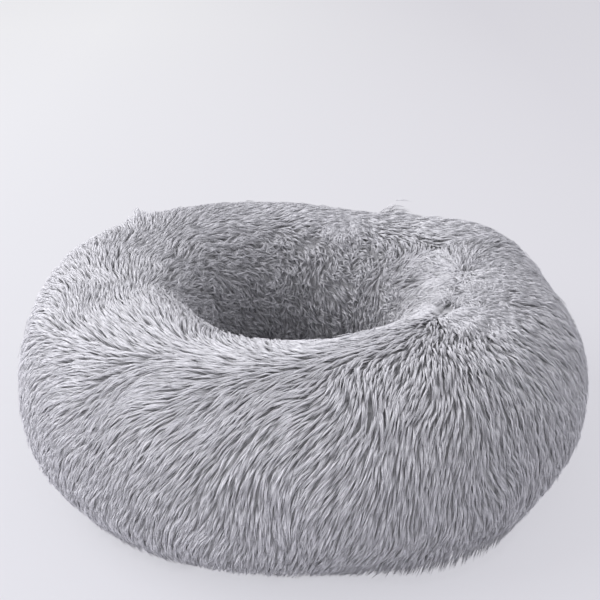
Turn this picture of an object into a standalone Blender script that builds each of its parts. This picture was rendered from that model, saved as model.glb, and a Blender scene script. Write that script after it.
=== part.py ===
# Round plush pet bed: a stuffed ring round a cushioned well, in a cover that zips open underneath.
# Metres, +Z up, front at -Y, origin on the floor under the middle of the bed.

import math

import bmesh
import bpy
import numpy as np

# Ring: overall size and the curve of its section
bed_diameter = 0.600
bed_height = 0.190
crest_diameter = 0.360
well_diameter = 0.190
widest_height = 0.082
section_power = 2.3

# Ring: its soft unevenness
full_side = 0.007
full_side_angle = math.radians(-45)
lump_height = 0.0022
lump_counts = (5, 8)
cross_seam_angle = math.radians(5)
crease_depth = 0.007
crease_angle = math.radians(6)
crease_place = math.radians(100)
crease_reach = math.radians(45)
gather_depth = 0.004
gather_count = 11
gather_place_share = 0.86
gather_spread_share = 0.09

# Ring: places where it is fuller or thinner: turn, section angle, their spreads (degrees), how much
uneven_places = (
    (31, 48, 21, 32, 0.017),
    (145, 50, 28, 32, 0.011),
    (76, 62, 15, 30, -0.010),
    (-80, 88, 20, 24, 0.006),
    (-116, 98, 15, 20, -0.005),
    (-126, -20, 24, 36, 0.009),
)

# Fabrics and stuffing
pile_depth = 0.012
seam_wall = 0.003
liner_wall = 0.001
base_cloth = 0.0015
fit_gap = 0.0005
seat_gap = 0.0003

# Well cushion
well_seam_height = 0.029
well_seam_lap = 0.002
well_crown = 0.025
well_binding_width = 0.004
well_binding_height = 0.005

# Bound seam round the base
base_binding_width = 0.006
base_binding_height = 0.0065
base_binding_lift = 0.001
wadding_inset = 0.004
valley_slope_width = 0.014

# Zip: two tapes, two rows of moulded teeth, end stops
zip_length = 0.370
tape_width = 0.015
tape_thickness = 0.0006
tooth_pitch = 0.0045
tooth_depth = 0.0026
tooth_length = 0.0043
tooth_overlap = 0.0017
spine_width = 0.0016
tooth_root_share = 0.18
tooth_head_share = 0.53
tooth_tip_share = 0.31
tooth_head_place_share = 0.53
stop_length = 0.003
slide_gap = 0.0004

# Zip slider and its pull tab
slider_length = 0.015
slider_plate = 0.0011
flange_width = 0.0013
mouth_flare = 0.001
mouth_flare_length = 0.004
post_width = 0.0016
post_length = 0.003
plate_corner = 0.001
edge_margin = 0.0015
arch_lift = 0.0007
arch_bar = 0.0009
arch_width = 0.0024
arch_length = 0.0084
arch_leg = 0.0012
pull_bar = 0.0009
pull_thickness = 0.001
pull_length = 0.032
pull_grip_width = 0.009
pull_neck_width = 0.0066
pull_play = 0.0003
eye_room = 0.0008
pivot_play = 0.00015
grip_hole_length = 0.007
grip_hole_width = 0.004
grip_border = 0.003
overrun = 0.0002

# Counts of facets
around = 44
well_around = 22
cover_outer_rows = 15
cover_inner_rows = 11
underside_rows = 3
arc_points = 24
well_ring_shares = (0.4, 0.7, 0.9, 1.0)
insert_ring_shares = (0.5, 0.82, 1.0)

# Half-widths of the ring's section, and the pile of levels from the floor up through the zip
crest_radius = crest_diameter / 2
outer_half = bed_diameter / 2 - crest_radius
inner_half = crest_radius - well_diameter / 2
arch_top = arch_lift + arch_bar
pivot_room = math.hypot(pull_bar, pull_thickness) / 2 + pivot_play
pivot_height = arch_top + pivot_room
lower_plate_bottom = pivot_height + pivot_room
lower_plate_top = lower_plate_bottom + slider_plate
teeth_bottom = lower_plate_top + slide_gap
teeth_top = teeth_bottom + tooth_depth
tape_bottom = teeth_top + seat_gap
tape_top = tape_bottom + tape_thickness
upper_plate_bottom = tape_top + slide_gap
upper_plate_top = upper_plate_bottom + slider_plate
insert_floor = upper_plate_top + slide_gap

# Places across and along the zip
tape_split = post_width + 2 * seat_gap
tape_outer = tape_split / 2 + tape_width
tooth_root = tooth_length - tooth_overlap
spine_outer = tooth_root + spine_width
channel_half = spine_outer + slide_gap
slider_half = channel_half + flange_width
mouth_half = slider_half + mouth_flare
panel_edge = mouth_half + edge_margin
valley_foot = tape_outer + valley_slope_width
tooth_count = int(zip_length / tooth_pitch + 0.001)
chain_half = tooth_count * tooth_pitch / 2
mouth_x = chain_half + slide_gap + post_length
tail_x = mouth_x - slider_length
top_stop_x = mouth_x + slide_gap
pivot_x = (mouth_x + tail_x) / 2


def seam_angle_at(height):
    """Angle below the widest level at which the section's curve comes down to a height."""
    drop_share = (widest_height - height) / widest_height
    return math.asin(drop_share ** (section_power / 2))


base_binding_top = base_binding_lift + base_binding_height
outer_end = -seam_angle_at(base_binding_top + seat_gap)
inner_end = math.pi + seam_angle_at(well_seam_height)


def section(angle):
    """Point and outward normal of the ring's section: four superellipse quarters."""
    cos_a = np.cos(angle)
    sin_a = np.sin(angle)
    across = np.sign(cos_a) * np.abs(cos_a) ** (2 / section_power)
    up = np.sign(sin_a) * np.abs(sin_a) ** (2 / section_power)
    half = np.where(cos_a >= 0, outer_half, inner_half)
    rise = np.where(sin_a >= 0, bed_height - widest_height, widest_height)
    normal_r = np.sign(across) * np.abs(across) ** (section_power - 1) / half
    normal_z = np.sign(up) * np.abs(up) ** (section_power - 1) / rise
    size = np.hypot(normal_r, normal_z)
    return crest_radius + half * across, widest_height + rise * up, normal_r / size, normal_z / size


def seam_share(angle):
    """0 at the outer seam, 1 at the well seam, held at these values along the underside."""
    return np.clip((angle - outer_end) / (inner_end - outer_end), 0, 1)


def wall_at(angle):
    """Thickness of the matted pile: full over the ring, thin at both seams."""
    window = np.sqrt(np.abs(np.sin(math.pi * seam_share(angle))))
    return seam_wall + (pile_depth - seam_wall) * window


def unevenness(turn, angle):
    """How far the stuffing pushes the skin out, or the seams draw it in."""
    share = seam_share(angle)
    window = np.abs(np.sin(math.pi * share)) ** 0.7
    window = np.where((share > 0) & (share < 1), window, 0)
    full = full_side * np.cos(2 * (turn - full_side_angle)) * np.maximum(np.cos(angle), 0)
    lumps = lump_height * sum(np.cos(n * turn + n) for n in lump_counts) / len(lump_counts)
    from_seam = (turn - cross_seam_angle + math.pi) % (2 * math.pi) - math.pi
    crease_window = np.exp(-(((angle - crease_place) / crease_reach) ** 2))
    crease = crease_depth * np.exp(-((from_seam / crease_angle) ** 2)) * crease_window
    near_well = np.exp(-(((share - gather_place_share) / gather_spread_share) ** 2))
    gathers = gather_depth * near_well * (1 - np.cos(gather_count * from_seam)) / 2
    places = 0
    for place_turn, place_angle, turn_spread, angle_spread, fuller in uneven_places:
        off_turn = (turn - math.radians(place_turn) + math.pi) % (2 * math.pi) - math.pi
        off_angle = angle - math.radians(place_angle)
        far = (off_turn / math.radians(turn_spread)) ** 2 + (off_angle / math.radians(angle_spread)) ** 2
        places = places + fuller * np.exp(-far)
    return window * (full + lumps + places - crease - gathers)


def ring_layer(angles, depth, floor):
    """Grid of points round the ring, a depth under its skin and never under a floor level."""
    turns = cross_seam_angle + np.arange(around) * 2 * math.pi / around
    turn, angle = np.meshgrid(turns, angles, indexing="ij")
    r, z, normal_r, normal_z = section(angle)
    out = unevenness(turn, angle) - depth
    r = r + normal_r * out
    z = np.maximum(z + normal_z * out, floor)
    return np.stack([r * np.cos(turn), r * np.sin(turn), z], axis=-1)


def grid_faces(rows, columns, first=0, skip=None):
    """Triangles of a grid that closes on itself both ways, all cut along the same diagonal."""
    faces = []
    for i in range(rows):
        for j in range(columns):
            if (i, j) == skip:
                continue
            a, b = i * columns + j, i * columns + (j + 1) % columns
            c, d = ((i + 1) % rows) * columns + (j + 1) % columns, ((i + 1) % rows) * columns + j
            faces.append([first + a, first + b, first + c])
            faces.append([first + a, first + c, first + d])
    return faces


def window_faces(quad, first_outer, first_inner):
    """Four edge faces that join an outer and an inner skin round one left-out quad."""
    joined = []
    for a, b in zip(quad, quad[1:] + quad[:1]):
        joined.append([first_outer + a, first_outer + b, first_inner + b, first_inner + a])
    return joined


def make_material(name, colour, roughness, metallic=0.0):
    material = bpy.data.materials.new(name)
    material.use_nodes = True
    shader = material.node_tree.nodes["Principled BSDF"]
    shader.inputs["Base Color"].default_value = (*colour, 1.0)
    shader.inputs["Roughness"].default_value = roughness
    shader.inputs["Metallic"].default_value = metallic
    return material


def make_object(name, points, faces, material, smooth_angle=None):
    """One closed mesh object with its faces pointing out."""
    mesh = bpy.data.meshes.new(name)
    mesh.from_pydata([tuple(map(float, p)) for p in points], [], faces)
    shape = bmesh.new()
    shape.from_mesh(mesh)
    bmesh.ops.recalc_face_normals(shape, faces=shape.faces)
    shape.to_mesh(mesh)
    shape.free()
    if smooth_angle:
        mesh.shade_smooth()
        mesh.set_sharp_from_angle(angle=smooth_angle)
    mesh.materials.append(material)
    obj = bpy.data.objects.new(name, mesh)
    bpy.context.collection.objects.link(obj)
    return obj


def make_prism(name, outline, low, high, material, axis="Z"):
    """An outline pushed along an axis from one level to another."""
    place = {
        "Z": lambda a, b, t: (a, b, t),
        "X": lambda a, b, t: (t, a, b),
        "Y": lambda a, b, t: (a, t, b),
    }[axis]
    points = [place(a, b, low) for a, b in outline] + [place(a, b, high) for a, b in outline]
    count = len(outline)
    faces = [list(range(count)), list(range(count, 2 * count))]
    for i in range(count):
        j = (i + 1) % count
        faces.append([i, j, count + j, count + i])
    return make_object(name, points, faces, material)


def combine(target, tool, operation):
    """A Boolean that keeps its tool as a hidden guide."""
    cut = target.modifiers.new(tool.name, "BOOLEAN")
    cut.operation = operation
    cut.solver = "EXACT"
    cut.object = tool
    tool.hide_render = True
    tool.display_type = "WIRE"


def make_ring_cover(material):
    """Turned-over U of pile fabric, open underneath, thin where it is sewn."""
    inside = np.linspace(outer_end, inner_end, cover_inner_rows)
    outside = np.linspace(inner_end, outer_end, cover_outer_rows)
    back = ring_layer(inside, wall_at(inside), 0)
    skin = ring_layer(outside, 0, 0)
    loop = np.concatenate([back, skin], axis=1)
    faces = grid_faces(around, loop.shape[1])
    return make_object("ring_cover", loop.reshape(-1, 3), faces, material, math.radians(50))


def core_angles():
    """Section angles of the liner and filling: the cover's inside rows, then the underside."""
    over = np.linspace(outer_end, inner_end, cover_inner_rows)
    under = np.linspace(inner_end, outer_end + 2 * math.pi, underside_rows + 2)[1:-1]
    return np.concatenate([over, under])


def core_layer(depth):
    """A closed skin inside the cover, lying flat on the base's wadding."""
    angles = core_angles()
    return ring_layer(angles, wall_at(angles) + fit_gap + depth, insert_floor + depth)


def make_ring_liner(material):
    """Thin closed tube with the slit underneath through which it is stuffed."""
    outer = core_layer(0)
    inner = core_layer(liner_wall)
    columns = outer.shape[1]
    count = around * columns
    slit = (around // 4, columns - underside_rows + 1)
    quad = [
        slit[0] * columns + slit[1],
        slit[0] * columns + slit[1] + 1,
        (slit[0] + 1) * columns + slit[1] + 1,
        (slit[0] + 1) * columns + slit[1],
    ]
    faces = grid_faces(around, columns, 0, slit) + grid_faces(around, columns, count, slit)
    faces += window_faces(quad, 0, count)
    points = np.concatenate([outer.reshape(-1, 3), inner.reshape(-1, 3)])
    return make_object("ring_liner", points, faces, material, math.radians(50))


def make_ring_filling(material):
    layer = core_layer(liner_wall + fit_gap)
    faces = grid_faces(around, layer.shape[1])
    return make_object("ring_filling", layer.reshape(-1, 3), faces, material, math.radians(50))


def well_seam_radius():
    """Where the ring's curve comes down to the seam round the well's floor."""
    return float(section(np.array(inner_end))[0])


def panel_share(radius):
    """1 in the middle of the well panel, falling to 0 at its seam and on the lap beyond it."""
    return max(1 - (radius / well_seam_radius()) ** 2, 0)


def panel_top(radius):
    """Crown of the plush panel on the well's floor."""
    return well_seam_height - seat_gap + well_crown * panel_share(radius) ** 1.3


def panel_bottom(radius):
    return panel_top(radius) - seam_wall - (pile_depth - seam_wall) * panel_share(radius)


def polar_faces(rings, count, first, flip):
    """A middle point and rings round it."""
    faces = [[first, first + 1 + i, first + 1 + (i + 1) % count] for i in range(count)]
    for ring in range(rings - 1):
        start = first + 1 + ring * count
        for i in range(count):
            j = (i + 1) % count
            faces.append([start + i, start + count + i, start + count + j, start + j])
    return [face[::-1] for face in faces] if flip else faces


def lens(profile_top, profile_bottom, count):
    """Points and faces of a round cushion from two lists of (radius, height), middle first."""
    points = []
    for profile in (profile_top, profile_bottom):
        points.append((0, 0, profile[0][1]))
        for radius, height in profile[1:]:
            for i in range(count):
                turn = cross_seam_angle + 2 * math.pi * i / count
                points.append((radius * math.cos(turn), radius * math.sin(turn), height))
    top_size = 1 + count * (len(profile_top) - 1)
    faces = polar_faces(len(profile_top) - 1, count, 0, False)
    faces += polar_faces(len(profile_bottom) - 1, count, top_size, True)
    top_rim = top_size - count
    bottom_rim = len(points) - count
    for i in range(count):
        j = (i + 1) % count
        faces.append([top_rim + i, bottom_rim + i, bottom_rim + j, top_rim + j])
    return points, faces


def make_well_panel(material):
    seam = well_seam_radius()
    radii = [0] + [seam * share for share in well_ring_shares] + [seam + well_seam_lap]
    top = [(radius, panel_top(radius)) for radius in radii]
    bottom = [(radius, panel_bottom(radius)) for radius in radii]
    points, faces = lens(top, bottom, around)
    return make_object("well_panel", points, faces, material, math.radians(50))


def well_binding_radius():
    return well_seam_radius() - well_binding_width / 4


def cushion_profiles(depth):
    """Top and bottom of the centre cushion's skin, a depth inside its liner's outside."""
    binding_inside = (well_binding_radius() - well_binding_width / 2) * math.cos(math.pi / around)
    width = binding_inside - fit_gap - depth
    top = [(0, panel_bottom(0) - fit_gap - depth)]
    for share in insert_ring_shares:
        top.append((width * share, panel_bottom(width * share) - fit_gap - depth))
    low = insert_floor + depth
    side = (low + top[-1][1]) / 2
    bottom = [(0, low)] + [(width * share, low) for share in insert_ring_shares[:-1]]
    bottom.append((width + well_binding_width / 2, side))
    return top, bottom


def make_well_liner(material):
    """Thin round bag with a stuffing slit in its underside."""
    outer_points, outer_faces = lens(*cushion_profiles(0), well_around)
    inner_points, inner_faces = lens(*cushion_profiles(liner_wall), well_around)
    top_size = 1 + well_around * len(insert_ring_shares)
    start = top_size + 1
    quad = [start, start + well_around, start + well_around + 1, start + 1]
    count = len(outer_points)
    faces = [f for f in outer_faces if set(f) != set(quad)]
    faces += [[count + v for v in f] for f in inner_faces if set(f) != set(quad)]
    faces += window_faces(quad, 0, count)
    return make_object("well_liner", outer_points + inner_points, faces, material, math.radians(50))


def make_well_filling(material):
    points, faces = lens(*cushion_profiles(liner_wall + fit_gap), well_around)
    return make_object("well_filling", points, faces, material, math.radians(50))


def make_hoop(name, radius, width, low, high, material):
    """A bound seam: a flat six-sided section turned round the bed's axis."""
    middle = (low + high) / 2
    outline = [
        (radius - width / 2, middle),
        (radius - width / 4, high),
        (radius + width / 4, high),
        (radius + width / 2, middle),
        (radius + width / 4, low),
        (radius - width / 4, low),
    ]
    points = []
    for i in range(around):
        turn = cross_seam_angle + 2 * math.pi * i / around
        points += [(r * math.cos(turn), r * math.sin(turn), z) for r, z in outline]
    return make_object(name, points, grid_faces(around, len(outline)), material, math.radians(40))


def base_seam_radius():
    """Where the ring's curve comes down to the bound seam round the base."""
    return float(section(np.array(outer_end))[0])


def base_radius():
    """Radius of the base cloth: inside the facets of the bound seam."""
    inside = base_seam_radius() - base_binding_width / 2
    return inside * math.cos(math.pi / around) - seat_gap


def half_moon(name, side, radius, stations, thickness, material):
    """Half a disc whose straight edge is bent up along stations of (distance, height)."""
    line = []
    for distance, height in stations:
        reach = math.sqrt(radius**2 - distance**2)
        line.append((-reach, distance, height))
        line.append((reach, distance, height))
    foot, level = stations[-1]
    start = math.asin(foot / radius)
    arc = []
    for i in range(1, arc_points):
        turn = start + (math.pi - 2 * start) * i / arc_points
        arc.append((radius * math.cos(turn), radius * math.sin(turn), level))
    low = [(x, side * y, z) for x, y, z in line + arc]
    count = len(low)
    points = low + [(x, y, z + thickness) for x, y, z in low]
    strips = [[2 * i, 2 * i + 1, 2 * i + 3, 2 * i + 2] for i in range(len(stations) - 1)]
    last = 2 * len(stations)
    strips.append([last - 2, last - 1] + list(range(last, count)))
    left = [2 * i for i in range(len(stations))]
    right = [2 * i + 1 for i in range(len(stations))]
    border = left[::-1] + right + list(range(last, count))
    faces = strips + [[count + v for v in strip] for strip in strips]
    for a, b in zip(border, border[1:] + border[:1]):
        faces.append([a, b, count + b, count + a])
    return make_object(name, points, faces, material)


def make_base(side, place, cloth, wadding):
    """One half of the base: the cloth, drawn up to the zip's tape, and the wadding on it."""
    edge_level = tape_bottom - seat_gap - base_cloth
    stations = [(panel_edge, edge_level), (tape_outer, edge_level), (valley_foot, 0)]
    half_moon("base_panel_" + place, side, base_radius(), stations, base_cloth, cloth)
    level = base_cloth + seat_gap
    start = valley_foot + seat_gap
    height = insert_floor - seat_gap - level
    half_moon("base_wadding_" + place, side, base_radius() - wadding_inset, [(start, level)], height, wadding)


def make_tape(side, place, material):
    reach = math.sqrt(base_radius() ** 2 - tape_outer**2)
    near, far = side * tape_split / 2, side * tape_outer
    outline = [(-reach, near), (reach, near), (reach, far), (-reach, far)]
    make_prism("zip_tape_" + place, outline, tape_bottom, tape_top, material)


def make_teeth(side, place, offset_share, material):
    """A comb: teeth that widen from their roots to their heads, on one spine along the tape's edge."""
    root = tooth_root_share * tooth_pitch / 2
    head = tooth_head_share * tooth_pitch / 2
    tip = tooth_tip_share * tooth_pitch / 2
    head_y = tooth_head_place_share * tooth_overlap
    flat = []
    faces = []
    for i in range(tooth_count):
        middle = -chain_half + (i + offset_share) * tooth_pitch
        flat += [(middle - root, -spine_outer), (middle - root, -tooth_root), (middle + root, -tooth_root)]
        flat += [(middle - head, head_y), (middle + head, head_y)]
        flat += [(middle - tip, tooth_overlap), (middle + tip, tooth_overlap)]
    per_tooth = 7
    start, end = len(flat), len(flat) + 2
    flat += [(-chain_half, -spine_outer), (-chain_half, -tooth_root)]
    flat += [(chain_half, -spine_outer), (chain_half, -tooth_root)]
    border = [start, start + 1]
    for i in range(tooth_count):
        a = i * per_tooth
        following = a + per_tooth if i + 1 < tooth_count else end
        faces.append([a, following, following + 1, a + 2, a + 1])
        faces.append([a + 1, a + 2, a + 4, a + 3])
        faces.append([a + 3, a + 4, a + 6, a + 5])
        border += [a + 1, a + 3, a + 5, a + 6, a + 4, a + 2]
    faces.append([start, 0, 1, start + 1])
    border += [end + 1, end] + [i * per_tooth for i in range(tooth_count)][::-1]
    count = len(flat)
    points = [(x, -side * y, teeth_bottom) for x, y in flat]
    points += [(x, -side * y, teeth_top) for x, y in flat]
    faces += [[count + v for v in face] for face in faces]
    for a, b in zip(border, border[1:] + border[:1]):
        faces.append([a, b, count + b, count + a])
    make_object("zip_teeth_" + place, points, faces, material)


def make_top_stop(side, place, material):
    """A clip closed round the inner edge of one tape."""
    inner = seat_gap / 2
    web = tape_split / 2 - seat_gap
    outline = [
        (inner, teeth_bottom),
        (spine_outer, teeth_bottom),
        (spine_outer, tape_bottom - seat_gap),
        (web, tape_bottom - seat_gap),
        (web, tape_top + seat_gap),
        (spine_outer, tape_top + seat_gap),
        (spine_outer, upper_plate_top),
        (inner, upper_plate_top),
    ]
    outline = [(side * y, z) for y, z in outline]
    end = top_stop_x + stop_length
    make_prism("zip_top_stop_" + place, outline, top_stop_x, end, material, "X")


def make_bottom_stop(material):
    """A block closed round both tapes, with its web between them."""
    web = tape_split / 2 - seat_gap
    right = [
        (spine_outer, teeth_bottom),
        (spine_outer, tape_bottom - seat_gap),
        (web, tape_bottom - seat_gap),
        (web, tape_top + seat_gap),
        (spine_outer, tape_top + seat_gap),
        (spine_outer, upper_plate_top),
    ]
    outline = right + [(-y, z) for y, z in right[::-1]]
    end = -chain_half - seat_gap
    make_prism("zip_bottom_stop", outline, end - stop_length, end, material, "X")


def plate_outline():
    """Slider plate seen from above: parallel at the tail, flared at the mouth, corners cut."""
    flare_x = mouth_x - mouth_flare_length
    half = [
        (tail_x, slider_half - plate_corner),
        (tail_x + plate_corner, slider_half),
        (flare_x, slider_half),
        (mouth_x - plate_corner, mouth_half),
        (mouth_x, mouth_half - plate_corner),
    ]
    return half + [(x, -y) for x, y in half[::-1]]


def make_slider(material):
    """Two plates joined by the post that parts the rows, side flanges, and the pull's arch."""
    slider = make_prism("zip_slider", plate_outline(), lower_plate_bottom, lower_plate_top, material)
    low = lower_plate_top - overrun
    flare_x = mouth_x - mouth_flare_length
    for side in (-1, 1):
        rail = [
            (tail_x + plate_corner, channel_half),
            (flare_x, channel_half),
            (mouth_x - plate_corner, channel_half + mouth_flare),
            (mouth_x - plate_corner, mouth_half),
            (flare_x, slider_half),
            (tail_x + plate_corner, slider_half),
        ]
        rail = [(x, side * y) for x, y in rail]
        flange = make_prism("slider_flange_guide_%d" % (side + 1), rail, low, teeth_top, material)
        combine(slider, flange, "UNION")
    half = post_width / 2
    wedge = [
        (mouth_x - overrun, -half),
        (mouth_x - overrun, half),
        (mouth_x - post_length / 2, half),
        (mouth_x - post_length, half / 2),
        (mouth_x - post_length, -half / 2),
        (mouth_x - post_length / 2, -half),
    ]
    post = make_prism("slider_post_guide", wedge, low, upper_plate_bottom + overrun, material)
    combine(slider, post, "UNION")
    upper = make_prism("slider_upper_guide", plate_outline(), upper_plate_bottom, upper_plate_top, material)
    combine(slider, upper, "UNION")
    reach = arch_length / 2
    inside = reach - arch_leg
    top = lower_plate_bottom + overrun
    bow = [
        (-reach, top),
        (-reach, arch_top),
        (-inside, arch_lift),
        (inside, arch_lift),
        (reach, arch_top),
        (reach, top),
        (inside, top),
        (inside, arch_top),
        (-inside, arch_top),
        (-inside, top),
    ]
    bow = [(pivot_x + x, z) for x, z in bow]
    arch = make_prism("slider_arch_guide", bow, -arch_width / 2, arch_width / 2, material, "Y")
    combine(slider, arch, "UNION")
    return slider


def make_pull(material):
    """Flat tab whose end bar passes under the slider's arch, with an eye and a grip hole."""
    neck = pull_neck_width / 2
    grip = pull_grip_width / 2
    eye_end = arch_length / 2 + arch_bar + eye_room
    half = [
        (pull_bar / 2, neck),
        (-eye_end, neck),
        (-eye_end - neck, grip),
        (-pull_length + neck, grip),
        (-pull_length, neck / 2),
    ]
    outline = half + [(x, -y) for x, y in half[::-1]]
    low, high = -pull_thickness / 2, pull_thickness / 2
    pull = make_prism("zip_pull", outline, low, high, material)
    eye_half = arch_width / 2 + pull_play
    eye = [(-pull_bar / 2, -eye_half), (-pull_bar / 2, eye_half), (-eye_end, eye_half), (-eye_end, -eye_half)]
    far = -pull_length + grip_border
    near = far + grip_hole_length
    wide = grip_hole_width / 2
    hole = [(far, -wide / 2), (far, wide / 2), (far + wide / 2, wide), (near - wide / 2, wide)]
    hole += [(near, wide / 2), (near, -wide / 2), (near - wide / 2, -wide), (far + wide / 2, -wide)]
    for name, shape in (("pull_eye_guide", eye), ("pull_hole_guide", hole)):
        cutter = make_prism(name, shape, low - overrun, high + overrun, material)
        cutter.location = (pivot_x, 0, pivot_height)
        combine(pull, cutter, "DIFFERENCE")
    pull.location = (pivot_x, 0, pivot_height)
    return pull


def make_bindings(material):
    top = well_seam_height - seat_gap - seam_wall - seat_gap
    make_hoop("well_binding", well_binding_radius(), well_binding_width, top - well_binding_height,
              top, material)
    make_hoop("base_binding", base_seam_radius(), base_binding_width, base_binding_lift,
              base_binding_top, material)


def build_bed():
    plush = make_material("plush", (0.36, 0.36, 0.39), 0.95)
    liner = make_material("liner", (0.78, 0.78, 0.78), 0.9)
    fibre = make_material("fibre", (0.88, 0.88, 0.88), 1.0)
    cloth = make_material("base_cloth", (0.20, 0.20, 0.215), 0.8)
    tape = make_material("zip_tape", (0.30, 0.30, 0.32), 0.85)
    teeth = make_material("zip_teeth", (0.34, 0.34, 0.36), 0.45)
    metal = make_material("slider_metal", (0.42, 0.42, 0.44), 0.4, 0.9)
    make_ring_cover(plush)
    make_ring_liner(liner)
    make_ring_filling(fibre)
    make_well_panel(plush)
    make_well_liner(liner)
    make_well_filling(fibre)
    make_bindings(tape)
    for side, place, offset_share in ((-1, "front", 0.25), (1, "rear", 0.75)):
        make_base(side, place, cloth, fibre)
        make_tape(side, place, tape)
        make_teeth(side, place, offset_share, teeth)
        make_top_stop(side, place, metal)
    make_bottom_stop(metal)
    make_slider(metal)
    make_pull(metal)


for leftover in list(bpy.data.objects):
    bpy.data.objects.remove(leftover)
build_bed()
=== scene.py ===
# Round plush pet bed, how it looks: long pile, cushions, base cloth, zip, floor and light.
# Metres, +Z up, front at -Y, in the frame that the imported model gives.

import math

import bmesh
import bpy
import numpy as np
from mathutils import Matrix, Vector


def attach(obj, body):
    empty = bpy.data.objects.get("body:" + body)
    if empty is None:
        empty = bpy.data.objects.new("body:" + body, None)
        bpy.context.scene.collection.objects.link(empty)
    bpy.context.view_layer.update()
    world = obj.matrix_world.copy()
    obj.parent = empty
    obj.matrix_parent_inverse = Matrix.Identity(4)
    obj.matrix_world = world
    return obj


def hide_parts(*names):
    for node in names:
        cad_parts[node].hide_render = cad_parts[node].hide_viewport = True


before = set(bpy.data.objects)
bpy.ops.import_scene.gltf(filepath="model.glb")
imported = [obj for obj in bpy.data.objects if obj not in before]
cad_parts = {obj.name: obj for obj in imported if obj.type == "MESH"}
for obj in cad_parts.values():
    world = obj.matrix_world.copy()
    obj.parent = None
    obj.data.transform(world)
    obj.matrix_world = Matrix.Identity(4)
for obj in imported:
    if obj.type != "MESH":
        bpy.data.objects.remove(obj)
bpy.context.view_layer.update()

# camera, floor and light

view = {
    "cameraPlace": (0.0, -0.900, 0.590),
    "looksAt": (0.0, 0.0, 0.155),
    "lens": 56.35,  # mm
    "filmWidth": 36.0,
}

room = {
    "floorRadius": 7.0,
    "floorPaint": (0.70, 0.695, 0.735),
    "floorRoughness": 0.55,
    "floorSpecular": 0.25,
    # what the camera sees of the floor, as painted light: left and right colours, lighter on the
    # left where the key lamp is, near and far
    "paintedLightFloorNear": ((0.745, 0.745, 0.80), (0.70, 0.69, 0.745)),
    "paintedLightFloorFar": ((0.86, 0.86, 0.88), (0.69, 0.68, 0.725)),
    "floorAcross": (-0.7, 0.7),  # where they run from left to right
    "floorAway": (-0.5, 2.5),  # and from near to far
    "floorShare": 0.80,  # how much of the floor's look they are
    "contactReach": 0.010,  # how far from the bed its edge darkens the floor, a painted contact shadow
    "contactShade": 0.3,  # the light left there under the painted contact shadow
    "backdrop": (0.80, 0.79, 0.84),
    "skyLight": 0.845,
    "skyTint": (0.97, 0.97, 1.0),
    "keyPlace": (-2.2, 0.0, 1.75),  # upper left
    "keySize": 3.0,
    "keyPower": 91.0,
    "fillPlace": (1.6, -1.6, 1.5),
    "fillSize": 2.0,
    "fillPower": 2.0,
    "lampsAimAt": (0, 0, 0.08),
}


def link(obj):
    bpy.context.scene.collection.objects.link(obj)
    return obj


def aim(obj, place, target):
    obj.location = place
    obj.rotation_euler = (Vector(target) - Vector(place)).to_track_quat("-Z", "Y").to_euler()


def addLamp(name, place, size, power):
    data = bpy.data.lights.new(name, "AREA")
    data.shape = "DISK"
    data.size = size
    data.energy = power
    aim(link(bpy.data.objects.new(name, data)), place, room["lampsAimAt"])


def newMaterial(name):
    material = bpy.data.materials.new(name)
    material.use_nodes = True
    return material, material.node_tree.nodes, material.node_tree.links


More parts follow.
